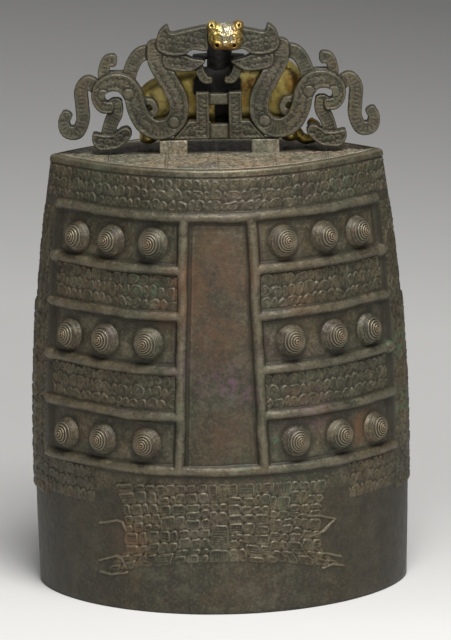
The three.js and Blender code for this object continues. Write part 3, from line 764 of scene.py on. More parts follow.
# The gu is the field that the bell is struck on, low in the middle of each face. Close-set
# blocks of all sizes fill it, each with a thin rim round fine lines, about an upright
# column; on both sides pairs of thin horns run out over the plain wall.
GU_GRID = 0.55
GU_REACH = 97  # how far the horns run out to each side
GU_LEVELS = (22, 104)
GU_FOOT = 41
GU_TOP = 103
GU_HALF = 78
GU_HEIGHT = 60
GU_LIFT = 1.7
GU_HORN_LIFT = 1.4
GU_BLOCK = (12.5, 10.5)
GU_COLUMN = (-10.3, 3.9)
GU_COLUMN_MIDDLE = -3.4
GU_COLUMN_LEVELS = (0, 10, 29, 39, 45, 60)
GU_HORNS = [
    [(-94, 65.5), (-81, 69.5), (-76.5, 68.5), (-73.5, 62)],
    [(-95, 36), (-82, 41.5), (-77.5, 40.5), (-75, 34)],
    [(-94, 27), (-86, 26.5), (-74, 29.5)],
    [(64, 73), (74, 71.5), (86, 67), (77, 59), (66, 56.5)],
    [(72, 42), (80, 41), (90, 36.5)],
    [(76, 30), (84, 32), (92, 29)],
]


def masonry(left, right, low, high, wide, tall, random):
    """Boxes that fill a field, got by cutting it again and again where it is too long."""
    if right - left <= wide and high - low <= tall:
        return [(left, right, low, high)]
    share = random.uniform(0.36, 0.64)
    if (right - left) / wide > (high - low) / tall:
        cut = left + (right - left) * share
        fields = ((left, cut, low, high), (cut, right, low, high))
    else:
        cut = low + (high - low) * share
        fields = ((left, right, low, cut), (left, right, cut, high))
    return [box for field in fields for box in masonry(*field, wide, tall, random)]


def block_field(u, v, boxes, seed):
    """Heights from 0 to 1 of close-set blocks: a rim, strongest on one side, and fine lines."""
    height = np.zeros_like(u)
    for number, (left, right, low, high) in enumerate(boxes):
        near = (u > left) & (u < right) & (v > low) & (v < high)
        a, b = u[near] - (left + right) / 2, v[near] - (low + high) / 2
        inside = -box_distance(a, b, (right - left) / 2 - 0.2, (high - low) / 2 - 0.15, 2.2)
        kind = chance(number, 1, seed)
        across = a if kind < 0.55 else b
        strokes = 0.5 + 0.5 * np.cos(across * 2 * math.pi / 1.9)
        tray = 0.5 - 0.25 * kind - 0.3 * strokes * ease(inside, 1.3, 2.2)
        around = np.arctan2(b / (high - low), a / (right - left))
        facing = 0.5 + 0.5 * np.cos(around - 1.2 - 1.4 * (chance(number, 3, seed) - 0.5))
        rim = line(inside - 0.55, 0.8) * (0.35 + 0.75 * facing**2)
        height[near] = np.maximum(rim, tray * ease(inside, 0, 0.5))
    return height


def path_distance(a, b, path):
    """How far each place is from a path of straight stretches."""
    nearest = np.full(a.shape, FAR)
    for (a0, b0), (a1, b1) in zip(path, path[1:]):
        length = (a1 - a0) ** 2 + (b1 - b0) ** 2
        share = np.clip(((a - a0) * (a1 - a0) + (b - b0) * (b1 - b0)) / length, 0, 1)
        away = np.hypot(a - a0 - share * (a1 - a0), b - b0 - share * (b1 - b0))
        nearest = np.minimum(nearest, away)
    return nearest


def gu_boxes():
    """The blocks of the gu: both wings, cut at random, and the upright column between them."""
    random = np.random.default_rng(12)
    boxes = masonry(-GU_HALF, GU_COLUMN[0], 0, GU_HEIGHT, *GU_BLOCK, random)
    boxes += masonry(GU_COLUMN[1], GU_HALF, 0, GU_HEIGHT, *GU_BLOCK, random)
    for number, (low, high) in enumerate(zip(GU_COLUMN_LEVELS, GU_COLUMN_LEVELS[1:])):
        edges = GU_COLUMN if number < 2 else (GU_COLUMN[0], GU_COLUMN_MIDDLE, GU_COLUMN[1])
        boxes += [(left, right, low, high) for left, right in zip(edges, edges[1:])]
    return boxes


def gu_place(x, z):
    """Even coordinates on the gu, whose foot and top sag towards the corners and sides flare."""
    foot = GU_FOOT - 14 * (x / 92) ** 2
    share = (z - foot) / (GU_TOP - 4 * (x / 80) ** 2 - foot)
    half = 75 + 13 * ease(share, 0.25, 0.02) + 5 * ease(share, 0.6, 1)
    return x / half * GU_HALF, share * GU_HEIGHT


def corners_of(grid):
    """The values at the four corners of each cell of a grid."""
    return np.stack([grid[1:, 1:], grid[:-1, :-1], grid[1:, :-1], grid[:-1, 1:]])


for face_name, face_turn in (("front", 0), ("back", math.pi)):
    across = np.arange(-GU_REACH, GU_REACH + 0.1, GU_GRID)
    x, z = np.meshgrid(across, np.arange(*GU_LEVELS, GU_GRID))
    u, v = gu_place(x, z)
    away = np.minimum(GU_HALF - np.abs(u), np.minimum(v, GU_HEIGHT - v))
    ragged = away + 0.9 * sway(u, v, 9, 3)
    bent_u, bent_v = u + 0.8 * sway(u, v, 22, 4), v + 0.7 * sway(v, u, 20, 6)
    height = GU_LIFT * block_field(bent_u, bent_v, gu_boxes(), 2)
    height = -0.5 + (height + 0.55) * ease(ragged, -0.6, 0.5)
    for horn in GU_HORNS:
        distance = path_distance(x, z, horn) + 0.2 * sway(x, z, 8, 1)
        height = np.maximum(height, (GU_HORN_LIFT + 0.5) * line(distance, 1.5) - 0.5)
    keep = corners_of(height > -0.45).any(0)
    skin(f"panel_{face_name}", face_turn + turn_at(x, z), z, height, keep)


# The flat top of the crown is cast with rows of the same small cells, inside a plain border
# and between thin ribs. Its colours are painted lighter than the wall's, for the light that its upturned
# top catches.
CROWN_GRID = 0.8
CROWN_RIBS = (-82, -38, 0, 44, 85)
CROWN_CELL = 8
CROWN_LIFT = 0.9
LIT_CROWN_COLOURS = ((0.05, 0.043, 0.03), (0.25, 0.225, 0.17), (0.6, 0.56, 0.46))

lit_crown_bronze = patina("lit_crown_bronze", *LIT_CROWN_COLOURS, 0.2, 1.3)
x, y = np.meshgrid(
    np.arange(-CROWN_HALF[0], CROWN_HALF[0], CROWN_GRID),
    np.arange(-CROWN_HALF[1], CROWN_HALF[1], CROWN_GRID),
)
lens_width, lens_depth = CROWN_HALF[0] - CROWN_INSET, CROWN_HALF[1] - CROWN_INSET
inside = (lens_depth * (1 - (x / lens_width) ** 2) - np.abs(y)) * 0.72
height = CROWN_LIFT * hooked_cells(x, y, CROWN_CELL, CROWN_CELL, 31)
for rib in CROWN_RIBS:
    height = np.maximum(height * ease(np.abs(x - rib), 0.9, 1.4), 0.5 * line(x - rib, 0.8))
border = CROWN_LIFT * line(inside - 1.2, 1.2)
height = np.maximum(height * ease(inside, 2.2, 2.8), border) - CROWN_SUNK + 0.05
height = np.where(inside < 0.2, -CROWN_SUNK - 0.5, height)
keep = corners_of(inside).min(0) > -0.3
relief = np.clip((height + CROWN_SUNK) * 1.5 - 0.75, -0.75, 0.9)
painted_shadow_under_loop = ease(y, -9, -5) * ease(y, 62, 40) * ease(np.abs(x - 2), 92, 76)
relief = relief - 1.6 * painted_shadow_under_loop  # painted shadow: the crown under the loop is darkened for the shade it lies in
outer = np.stack([x, y, CROWN_HEIGHT + height], -1)
inner = np.stack([x, y, CROWN_HEIGHT - CROWN_SUNK - SKIN_DEPTH + 0 * x], -1)
piece("crown_field", *slab(outer, inner, keep, relief), lit_crown_bronze, "wall_bronze")


# Thirty-six bosses stand on the wall, nine on each half of a face. Each is a small bronze
# dome, held by a tenon in the wall. A fine cord is coiled round its pointed tip and sinks
# away into the smooth flanks; the tips are worn and reddish.
BOSS_HEIGHT = 11.5
BOSS_POINT = 0.26  # share of the height that is a cone, and not a rounded dome
BOSS_ROUNDNESS = 2.5
BOSS_COILS = 6.5
BOSS_ROPE = 0.72
BOSS_ROPE_REACH = 0.84
BOSS_ROPE_SINK = (0.5, 0.86)  # shares of the radius between which the cord sinks away
BOSS_CORE_FLOOR = 1.2
BOSS_RING_PITCH = 1.55
BOSS_RING_RISE = 0.13
BOSS_COLOURS = ((0.02, 0.018, 0.012), (0.098, 0.085, 0.058), (0.26, 0.222, 0.15))

boss_bronze = patina("boss_bronze", *BOSS_COLOURS, 0.15)


def coiled_boss_tree():
    """A cord wound into a dome round a solid core; its sizes are in metres."""
    tree = bpy.data.node_groups.new("coiled_boss", "GeometryNodeTree")
    names = ("Coils", "Radius", "Height", "Rope", "Ring Pitch", "Ring Rise", "Seat", "Turn", "Seed")
    for name in names:
        kind = "NodeSocketVector" if name in ("Seat", "Turn") else "NodeSocketFloat"
        tree.interface.new_socket(name, in_out="INPUT", socket_type=kind)
    tree.interface.new_socket("Geometry", in_out="OUTPUT", socket_type="NodeSocketGeometry")
    nodes = Nodes(tree)
    given = nodes.node("NodeGroupInput", {}, {}).socket.node.outputs
    values = [Tone(nodes, given[name]) for name in names]
    coils, radius, height, rope, pitch, ring_rise, seat, turn, seed = values

    def around():
        """The place, its flat part, and its distance from the axis as a share of the radius."""
        place = nodes.node("GeometryNodeInputPosition", {}, {})
        flat = nodes.node("ShaderNodeVectorMath", {"operation": "MULTIPLY"}, [place, (1, 1, 0)])
        away = nodes.node("ShaderNodeVectorMath", {"operation": "LENGTH"}, [flat], "Value")
        return place, flat, away / radius

    def dome(away):
        return height * (1 - away * BOSS_POINT - away**BOSS_ROUNDNESS * (1 - BOSS_POINT))

    def cord_height(place, away):
        return dome(away) - rope * away.ramp(*BOSS_ROPE_SINK) * 1.2

    def core_height(place, away):
        """The dome with fine rings on its flanks, and a floor for what lies below the middle."""
        rings = nodes.math("SINE", away * radius / pitch * 2 * math.pi)
        up = dome(away) + rope * -0.25 + ring_rise * rings * away.ramp(0.98, 0.75)
        level = nodes.node("ShaderNodeSeparateXYZ", {}, [place], "Z")
        above = nodes.math("GREATER_THAN", level, -0.00001)
        return up * above + -BOSS_CORE_FLOOR * MM * (1 - above)

    def domed(geometry, height_at):
        """Move points up or down to the heights that a function gives, with a fine grain."""
        place, flat, away = around()
        grained = {"Vector": place, "W": seed, "Scale": 240.0}
        grain = nodes.node("ShaderNodeTexNoise", {"noise_dimensions": "4D"}, grained)
        up = height_at(place, away) + (grain - 0.5) * 0.0005
        raised = nodes.node("ShaderNodeCombineXYZ", {}, {"Z": up})
        moved = nodes.node("ShaderNodeVectorMath", {"operation": "ADD"}, [flat, raised])
        return nodes.node("GeometryNodeSetPosition", {}, {"Geometry": geometry, "Position": moved})

    spiral_sizes = {
        "Resolution": 28,
        "Rotations": coils,
        "Start Radius": rope * 0.3,
        "End Radius": radius * BOSS_ROPE_REACH,
        "Height": 0.0,
    }
    wound = domed(nodes.node("GeometryNodeCurveSpiral", {}, spiral_sizes), cord_height)
    cord = nodes.node("GeometryNodeCurvePrimitiveCircle", {}, {"Resolution": 6, "Radius": rope})
    coil_parts = {"Curve": wound, "Profile Curve": cord, "Fill Caps": True}
    coil = nodes.node("GeometryNodeCurveToMesh", {}, coil_parts)
    ball = nodes.node("GeometryNodeMeshUVSphere", {}, {"Segments": 30, "Rings": 60, "Radius": radius})
    core = domed(ball, core_height)
    joined = tree.nodes.new("GeometryNodeJoinGeometry")
    for part in (core, coil):
        tree.links.new(part.socket, joined.inputs[0])
    whole = Tone(nodes, joined.outputs[0])

    place, flat, away = around()
    over = (nodes.node("ShaderNodeSeparateXYZ", {}, [place], "Z") - dome(away)) / rope
    relief = (over * 1.5 - 0.25) * (0.12 + 0.88 * away.ramp(0.86, 0.55))
    # Dirt and painted shade darken the boss's foot, where it meets the wall
    relief = relief - 0.5 * away.ramp(0.9, 1.0)
    for name, value in (("relief", relief), ("red", 0.8 * away.ramp(0.42, 0.1))):
        stored = {"Geometry": whole, "Name": name, "Value": value}
        whole = nodes.node("GeometryNodeStoreNamedAttribute", {"data_type": "FLOAT"}, stored)
    turned = nodes.node("FunctionNodeEulerToRotation", {}, [turn])
    placed = {"Geometry": whole, "Translation": seat, "Rotation": turned}
    whole = nodes.node("GeometryNodeTransform", {}, placed)
    whole = nodes.node("GeometryNodeRealizeInstances", {}, [whole])
    whole = nodes.node("GeometryNodeSetMaterial", {}, {"Geometry": whole, "Material": boss_bronze})
    result = tree.nodes.new("NodeGroupOutput")
    tree.links.new(whole.socket, result.inputs[0])
    return tree


boss_tree = coiled_boss_tree()
boss_sockets = boss_tree.interface.items_tree
boss_inputs = {socket.name: socket.identifier for socket in boss_sockets if socket.in_out == "INPUT"}
for number, (name, (seat, outward)) in enumerate(bosses.items()):
    holder = bpy.data.objects.new(name + "_holder", bpy.data.meshes.new(name))
    bpy.context.collection.objects.link(holder)
    modifier = holder.modifiers.new("coils", "NODES")
    modifier.node_group = boss_tree
    spun = outward.to_track_quat("Z", "Y") @ Matrix.Rotation(2.1 * number, 3, "Z").to_quaternion()
    values = {
        "Coils": BOSS_COILS + 0.3 * math.sin(3 * number),
        "Radius": BOSS_RADIUS * MM * (1 + 0.02 * math.sin(5 * number)),
        "Height": BOSS_HEIGHT * MM * (1 + 0.04 * math.sin(7 * number)),
        "Rope": BOSS_ROPE * MM,
        "Ring Pitch": BOSS_RING_PITCH * MM,
        "Ring Rise": BOSS_RING_RISE * MM,
        "Seat": seat * MM,
        "Turn": spun.to_euler(),
        "Seed": float(number),
    }
    for key, value in values.items():
        modifier[boss_inputs[key]] = value
    bpy.context.view_layer.update()
    evaluated = holder.evaluated_get(bpy.context.evaluated_depsgraph_get())
    mesh = bpy.data.meshes.new_from_object(evaluated)
    bpy.data.objects.remove(holder)
    finished(name.replace("boss", "coiled_boss"), mesh, boss_bronze, "boss_bronze", name)


# The loop on the crown is openwork cast in bronze: two dragons face each other across the
# middle, each one flat plate whose limbs have raised rims and chased marks between them.
# Their bodies stand on two plinths of the crown, and their outer feet stay just clear of it.
LOOP_OFFSET = 2.5
LOOP_GRID = 0.55
LOOP_GAP = 0.3
LOOP_ROUNDING = 0.9
PLINTH_CENTRE = 35.5
PLINTH_HALF = (10.75, 7.5)
PLINTH_HEIGHT = 10
PLINTH_SUNK = 3
BODY_LEVEL = 8.5
LIMB_LEVEL = 6.5
HEAD_LEVEL = 9.5
FIELD_DEPTH = 0.85
RIM_WIDTH = 1.5
STUD_RADIUS = 4.2
HOOK_PITCH = 3.7
HATCH_PITCH = 2.5
DASH_PITCH = 3.1
SCROLL_SIZE = (5.4, 4.8)
BODY_WIDTHS = (15, 9)  # up to most of its length, and at its curled end

# Distances out from the loop's middle and heights above the crown, along each limb
BODY = [
    (47.3, 83.4), (46.8, 72), (38.5, 56), (31.4, 41), (32, 28), (39, 20), (48.5, 18.4), (57.5, 23.5),
    (63, 34), (66.2, 46), (73, 54.3), (82.5, 55.6), (91, 51), (93, 43.5), (89.5, 37), (83.5, 36),
]
TAIL = [
    (94, 52), (101, 55.5), (105.8, 50), (105.5, 38), (105.3, 26),
    (110, 17.2), (117.5, 18), (119.8, 25.5), (117.2, 31),
]
LEG = [(80, 40), (79.5, 32), (83, 25), (87.5, 10)]
CREST = [(87.7, 56), (88.4, 64), (85, 72), (80.5, 72.5)]
WING = [(70, 55), (66.5, 67), (60.5, 76), (50, 79)]
WEB = [(66, 60), (90, 60)]
BARB = [(59, 40.5), (51.5, 39.5), (49, 33.5), (51.5, 30.5)]
TONGUE = [(16, 70), (13.5, 61.5), (9.7, 56.5), (6, 56)]
HEAD = [
    (47, 82), (46, 92), (42.9, 96.5), (38.8, 99), (36.3, 93.5), (28, 94.5), (17.2, 96.6), (8.3, 97.5),
    (7.6, 88), (8.3, 79.4), (19.6, 80.1), (25.8, 76.4), (41, 77),
]
JAW = [(42, 76), (32, 77), (25.8, 76), (20, 73.4), (9.8, 71), (18.9, 64.1), (24, 63.1), (41, 67)]
FOOT = [
    (97.4, 16), (90, 15), (83.4, 15), (74.4, 20.1), (70, 20),
    (67.5, 14.8), (74, 7.5), (80, 4), (94, 3.9), (98.2, 10),
]
STUDS = [(69.5, 46.5), (89, 46), (35, 24)]
LOOP_COLOURS = ((0.016, 0.014, 0.009), (0.088, 0.082, 0.056), (0.17, 0.158, 0.11))

loop_bronze = patina("loop_bronze", *LOOP_COLOURS, 0.4)


def smooth_path(points, spacing=0.8, closed=False):
    """Points at even steps along the spline through a few points."""
    points = np.array(points, float)
    before, after = 2 * points[:1] - points[1:2], 2 * points[-1:] - points[-2:-1]
    if closed:
        before, after = points[-1:], points[:2]
    points = np.vstack([before, points, after])
    parts = []
    for a, b, c, d in zip(points, points[1:], points[2:], points[3:]):
        ab, bc, cd = [np.linalg.norm(q - p) ** 0.5 for p, q in ((a, b), (b, c), (c, d))]
        leave = bc * ((b - a) / ab - (c - a) / (ab + bc) + (c - b) / bc)
        arrive = bc * ((c - b) / bc - (d - b) / (bc + cd) + (d - c) / cd)
        t = np.linspace(0, 1, 24, endpoint=False)[:, None]
        bent = (3 * (c - b) - 2 * leave - arrive) * t**2
        parts.append(b + leave * t + bent + (2 * (b - c) + leave + arrive) * t**3)
    path = np.vstack([*parts, points[-2:-1]])
    along = np.append(0, np.cumsum(np.linalg.norm(np.diff(path, axis=0), axis=1)))
    even = np.linspace(0, along[-1], max(4, int(along[-1] / spacing)))
    return np.stack([np.interp(even, along, path[:, axis]) for axis in (0, 1)], -1)


def nearest_on(path, a, h):
    """For each place, the nearest point's number, and the offset along and beside the path."""
    place = np.stack([a, h], -1).astype(np.float32)
    offset = place[:, None] - path[None].astype(np.float32)
    number = np.argmin((offset**2).sum(-1), axis=1)
    heading = np.gradient(path, axis=0)
    heading = (heading / np.linalg.norm(heading, axis=1, keepdims=True))[number]
    offset = offset[np.arange(len(place)), number]
    beside = offset[:, 0] * heading[:, 1] - offset[:, 1] * heading[:, 0]
    return number, (offset * heading).sum(-1), beside


def strap(a, h, points, width, end_width=None):
    """How far outside a strap each place is, and how far along it and beside its middle."""
    path = smooth_path(points)
    low, high = path.min(0) - width, path.max(0) + width
    near = (a > low[0]) & (a < high[0]) & (h > low[1]) & (h < high[1])
    number, past, beside = nearest_on(path, a[near], h[near])
    step = np.linalg.norm(path[1] - path[0])
    share = ease(np.arange(len(path)) / (len(path) - 1), 0.7, 1)
    half = (width + ((end_width or width) - width) * share)[number] / 2
    before, after = (number == 0) & (past < 0), (number == len(path) - 1) & (past > 0)
    past = np.where(before | after, past, 0)
    distance, along, side = (np.full(a.shape, value) for value in (FAR, 0.0, 0.0))
    distance[near] = np.hypot(beside, 1.7 * past) - half
    along[near] = number * step
    side[near] = beside / half
    return distance, along, side


def plate(a, h, outline, straight=False):
    """How far outside a flat outline each place is, and two even coordinates on it."""
    if straight:
        corners = np.array([*outline, outline[0]], float)
        shares = np.linspace(0, 1, 30, endpoint=False)[:, None]
        edges = [start + (end - start) * shares for start, end in zip(corners, corners[1:])]
        path = np.vstack([*edges, corners[:1]])
    else:
        path = smooth_path(outline, closed=True)
    low, high = path.min(0) - 4, path.max(0) + 4
    near = (a > low[0]) & (a < high[0]) & (h > low[1]) & (h < high[1])
    place = np.stack([a[near], h[near]], -1)
    away = np.sqrt(((place[:, None] - path[None]) ** 2).sum(-1).min(1))
    x, y = place[:, :1], place[:, 1:]
    (x0, y0), (x1, y1) = path[:-1].T[:, None], path[1:].T[:, None]
    edge = x0 + (y - y0) * (x1 - x0) / np.where(y1 == y0, 1, y1 - y0)
    crossings = (((y0 > y) != (y1 > y)) & (x < edge)).sum(1)
    distance = np.full(a.shape, FAR)
    distance[near] = np.where(crossings % 2 == 1, -away, away)
    return distance, a, h


def hooks(along, side, wide):
    """Two rows of small hooks, chased between the rims of a body."""
    marks = np.zeros_like(along)
    for row, sign in enumerate((-1, 1)):
        place = along / HOOK_PITCH + 0.5 * row
        a = (place - np.floor(place) - 0.5) * HOOK_PITCH
        b = (side - sign * 0.36) * wide / 2
        turned = np.arctan2(b, a) + 2.2 * chance(np.floor(place), row, 4) * sign
        marks = np.maximum(marks, line(np.hypot(a, b) - 1.15, 0.65) * (np.cos(turned) < 0.55))
    return marks


def hatching(along, side):
    """Soft grooves across a limb, bowed a little."""
    bowed = along + 0.8 * side**2 + 0.3 * sway(along, 9 * side, 7, 2)
    cut = 0.5 + 0.5 * np.cos(2 * math.pi * bowed / HATCH_PITCH)
    return 0.5 * cut**2 * (np.abs(side) < 0.66)


def dashes(along, side):
    """Short slanted cuts along the middle of a limb."""
    place = along / DASH_PITCH
    a = (place - np.floor(place) - 0.5) * DASH_PITCH
    return line(a + 0.5 * side, 0.8) * (np.abs(side) < 0.45) * 0.55


def scrolls(a, h):
    """Curled cuts that cover a head, a jaw or a foot."""
    return 1 - ease(hooked_cells(a + 0.3 * h, h - 0.2 * a, *SCROLL_SIZE, 9), 0.05, 0.5)


def compose(a, h, parts, studs=()):
    """Lay limbs over each other: outline distance, front level and chasing of the whole."""
    outline = np.full(a.shape, FAR)
    front = np.zeros(a.shape)
    proud = np.zeros(a.shape)
    for level, (distance, along, side), marks in parts:
        inside = -distance
        rim = ease(inside, RIM_WIDTH + 0.6, RIM_WIDTH) if marks else 1
        mark = marks(along, side) if marks else 0
        surface = np.maximum(0.95 * rim, 0.62 - 0.75 * mark) + 0 * inside
        surface = np.where(inside < 0.9, 1 - 0.9 * ease(inside, 0.9, -0.2), surface)
        groove = np.minimum(proud, 0.2 - 0.5 * line(distance - 0.5, 0.8))
        proud = np.where((distance > 0) & (distance < 1.1) & (outline < 0), groove, proud)
        proud = np.where(inside > 0, surface, proud)
        front = np.where((inside > 0) | (outline > 0) & (distance < outline), level, front)
        outline = np.minimum(outline, distance)
    for stud_a, stud_h in studs:
        away = np.hypot(a - stud_a, h - stud_h)
        dome = 0.75 + 0.25 * np.sqrt(np.clip(1 - (away / STUD_RADIUS) ** 2, 0, 1))
        proud = np.where(away < STUD_RADIUS, dome, np.where(away < STUD_RADIUS + 0.9, -0.2, proud))
    return outline, front, proud


def drawn_to(outline, a, h, grid, even=True):
    """Places of a grid, with those beside an outline moved onto it.

    Distances to the outline that don't grow evenly are allowed for by their slope.
    """
    slope_h, slope_a = np.gradient(outline, grid)
    move = np.where((outline > -0.4 * grid) & (outline < 1.2 * grid), outline, 0)
    if not even:
        move = move / np.maximum(slope_a**2 + slope_h**2, 0.2)
    return a - move * slope_a, h - move * slope_h


def openwork(name, a, h, hand, parts, studs, node):
    """A flat openwork piece of the loop, alike in front and behind, with smooth outlines."""
    outline, front, proud = compose(a, h, parts, studs)
    level = front + FIELD_DEPTH * (proud - 1)
    for _ in range(2):  # the steps between limbs are softened
        edge = np.pad(level, 1, mode="edge")
        level = (4 * level + edge[:-2, 1:-1] + edge[2:, 1:-1] + edge[1:-1, :-2] + edge[1:-1, 2:]) / 8
    moved_a, moved_h = drawn_to(outline, a, h, LOOP_GRID, even=False)
    x, z = LOOP_OFFSET + hand * moved_a, CROWN_HEIGHT + moved_h
    relief = np.clip(1.6 * proud - 1.0, -0.9, 0.9)
    front, back = np.stack([x, -level, z], -1), np.stack([x, level, z], -1)
    keep = corners_of(outline).mean(0) < 0
    points, faces, shades = slab(front, back, keep, relief, LOOP_ROUNDING)
    if hand < 0:
        faces = faces[:, ::-1]
    return piece(name, points, faces, shades, loop_bronze, "loop_bronze", node)


def body_marks(along, side):
    """Hatching round the bends of a dragon's body, and hooks on its straighter stretches."""
    bend = ((along > 66) & (along < 84)) | (along > 168) | (along < 12)
    return np.where(bend, hatching(along, side), hooks(along, side, BODY_WIDTHS[0]))


# A dragon's limbs, the hindmost first: how far forward each lies, its shape and its chasing
a, h = np.meshgrid(np.arange(2, 128, LOOP_GRID), np.arange(-1, 103, LOOP_GRID))
limbs = [
    (LIMB_LEVEL, strap(a, h, WEB, 8), None),
    (LIMB_LEVEL, strap(a, h, WING, 11), hatching),
    (LIMB_LEVEL, strap(a, h, CREST, 8.5, 9.5), dashes),
    (LIMB_LEVEL, strap(a, h, BARB, 5, 6), None),
    (LIMB_LEVEL, strap(a, h, LEG, 11), hatching),
    (LIMB_LEVEL, strap(a, h, TAIL, 10.5, 8.5), dashes),
    (BODY_LEVEL, plate(a, h, FOOT), scrolls),
    (BODY_LEVEL, strap(a, h, BODY, *BODY_WIDTHS), body_marks),
    (LIMB_LEVEL, strap(a, h, TONGUE, 7, 5), dashes),
    (BODY_LEVEL, plate(a, h, JAW), scrolls),
    (HEAD_LEVEL, plate(a, h, HEAD), scrolls),
]
openwork("dragon_left", a, h, -1, limbs, STUDS, "loop_dragon_left")
openwork("dragon_right", a, h, 1, limbs, STUDS, "loop_dragon_right")


def blocks(name, boxes, rounding, finish, slot):
    """Boxes with rounded edges in one mesh; each is its lowest and highest corner."""
    shape = bmesh.new()
    for low, high in boxes:
        place = Matrix.LocRotScale((low + high) / 2 * MM, None, (high - low) * MM)
        corners = bmesh.ops.create_cube(shape, size=1, matrix=place)["verts"]
        edges = list({edge for corner in corners for edge in corner.link_edges})
        bmesh.ops.bevel(shape, geom=edges, offset=rounding * MM, segments=3, profile=0.5, affect="EDGES")
    mesh = bpy.data.meshes.new(name)
    shape.to_mesh(mesh)
    shape.free()
    return finished(name, mesh, finish, slot)


plinths = []
for hand in (-1, 1):
    middle = Vector((LOOP_OFFSET + hand * PLINTH_CENTRE, 0, CROWN_HEIGHT))
    low = middle - Vector((*PLINTH_HALF, PLINTH_SUNK))
    plinths.append((low, middle + Vector((*PLINTH_HALF, PLINTH_HEIGHT))))
# The plinths take the crown's colours, painted lighter for the light they catch
blocks("crown_plinths", plinths, LOOP_ROUNDING, lit_crown_bronze, "wall_bronze")


# Between the dragons a squared stirrup stands on the inner halves of the plinths. Its two
# posts are chased like the dragons, and two plain bars join them, set a little further back.
STIRRUP_HEIGHT = 47
STIRRUP_HALF = 17.8
STIRRUP_INNER = 7.5
STIRRUP_FOOT = [(STIRRUP_HALF, 24.5), (STIRRUP_HALF + 6, 24.5), (36, PLINTH_HEIGHT + LOOP_GAP)]
POST_LEVEL = 7.5
BAR_LEVEL = 5.5
BARS = ((PLINTH_HEIGHT + LOOP_GAP, 22), (37, 45.5))


def post_marks(a, h):
    """Hooks up a post and out along its foot."""
    upright = hooks(h, (a - 12.6) / 5.2, 8)
    return np.where(a < STIRRUP_HALF, upright, hooks(a, (h - 17) / 7, 11))


signed, h = np.meshgrid(np.arange(-38.5, 38.6, LOOP_GRID), np.arange(8, 49.5, LOOP_GRID))
a = np.abs(signed)
post = [(STIRRUP_INNER, BARS[0][0]), (STIRRUP_INNER, STIRRUP_HEIGHT)]
post += [(STIRRUP_HALF, STIRRUP_HEIGHT), *STIRRUP_FOOT]
distance, _, _ = plate(a, h, post, straight=True)
distance = np.maximum(distance, LOOP_GAP - strap(a, h, BODY, *BODY_WIDTHS)[0])
stirrup = []
for low, high in BARS:
    bar = box_distance(a, h - (low + high) / 2, STIRRUP_HALF - 1.5, (high - low) / 2, 0.5)
    stirrup.append((BAR_LEVEL, (bar, a, h), None))
stirrup.append((POST_LEVEL, (distance, a, h), post_marks))
openwork("stirrup", signed, h, 1, stirrup, (), "loop_stirrup")


# Behind the dragons a beast in gilt bronze clasps the loop. It was cast in one, with a full
# rounded trunk, two legs down to the crown, a curled tail, a neck and two level forelegs.
# The gilding has worn to olive and brown; its neck, forelegs and front are painted black for shade.
BEAST_RADIUS = 12
BEAST_Y = HEAD_LEVEL + LOOP_GAP + BEAST_RADIUS
BEAST_ROUNDING = 10
BEAST_GRID = 0.9
FORELEG_HEIGHT = 71
TRUNK = [
    (-58, 18), (-64, 27), (-65, 38), (-61, 47), (-52, 54), (-38, 59), (-20, 62), (0, 64.5), (22, 67),
    (42, 68.5), (55, 67), (63, 60), (66, 48), (66, 36), (63, 25), (56, 18), (40, 20), (0, 21), (-40, 20),
]
OLIVE_GILT = (0.36, 0.27, 0.07)
BRIGHT_GILT = (0.66, 0.54, 0.2)
PALE_GILT = (0.8, 0.68, 0.42)
RUDDY_GILT = (0.42, 0.2, 0.045)
AMBER_GILT = (0.42, 0.17, 0.04)
WORN_GILT = (0.15, 0.105, 0.045)
HOLLOW_DIRT = (0.05, 0.03, 0.012)
BARE_METAL = (0.36, 0.35, 0.31)
PAINTED_SHADE_BLACK = (0.006, 0.005, 0.004)


def gilt(name):
    """Fire gilding: bright where it is left, olive and brown where thin, painted black for shade where it
    is given.
    """
    finish = Finish(name)
    proud = finish.attribute("relief")
    soot, bare, amber = [finish.attribute(shade) for shade in ("soot", "bare", "amber")]
    fine = finish.noise(330, 4, 0.65)
    broad = finish.noise(42, 3, 0.55)
    patch = finish.noise(75, 3, 0.6, shift=(2, 6, 1))
    colour = finish.mix(broad.ramp(0.36, 0.62), OLIVE_GILT, BRIGHT_GILT)
    colour = finish.mix(patch.ramp(0.52, 0.66) * 0.7, colour, RUDDY_GILT)
    colour = finish.mix(fine.ramp(0.56, 0.72) * 0.4, colour, PALE_GILT)
    colour = finish.mix(amber * (0.4 + 0.6 * patch.ramp(0.4, 0.6)), colour, AMBER_GILT)
    worn = (patch * 0.4 + fine * 0.6 - proud * 0.16).ramp(0.52, 0.64)
    colour = finish.mix(worn * 0.6, colour, WORN_GILT)
    colour = finish.mix((proud + (fine - 0.5) * 0.8).ramp(-0.15, -0.8), colour, HOLLOW_DIRT)
    colour = finish.mix(bare * (0.45 + 0.55 * fine.ramp(0.4, 0.6)), colour, BARE_METAL)
    # Painted shade: black where the beast lies in shadow, about its neck and forelegs and down its front
    colour = finish.mix((soot + (fine - 0.5) * 0.4).ramp(0.25, 0.75), colour, PAINTED_SHADE_BLACK)
    roughness = 0.4 + 0.2 * worn + 0.25 * soot
    metallic = 0.9 - 0.35 * worn - 0.6 * soot
    height = fine * 0.6 + broad * 0.8
    return finish.ended(finish.surface(colour, roughness, metallic, height, 0.0006))


gilding = gilt("worn_gilding")


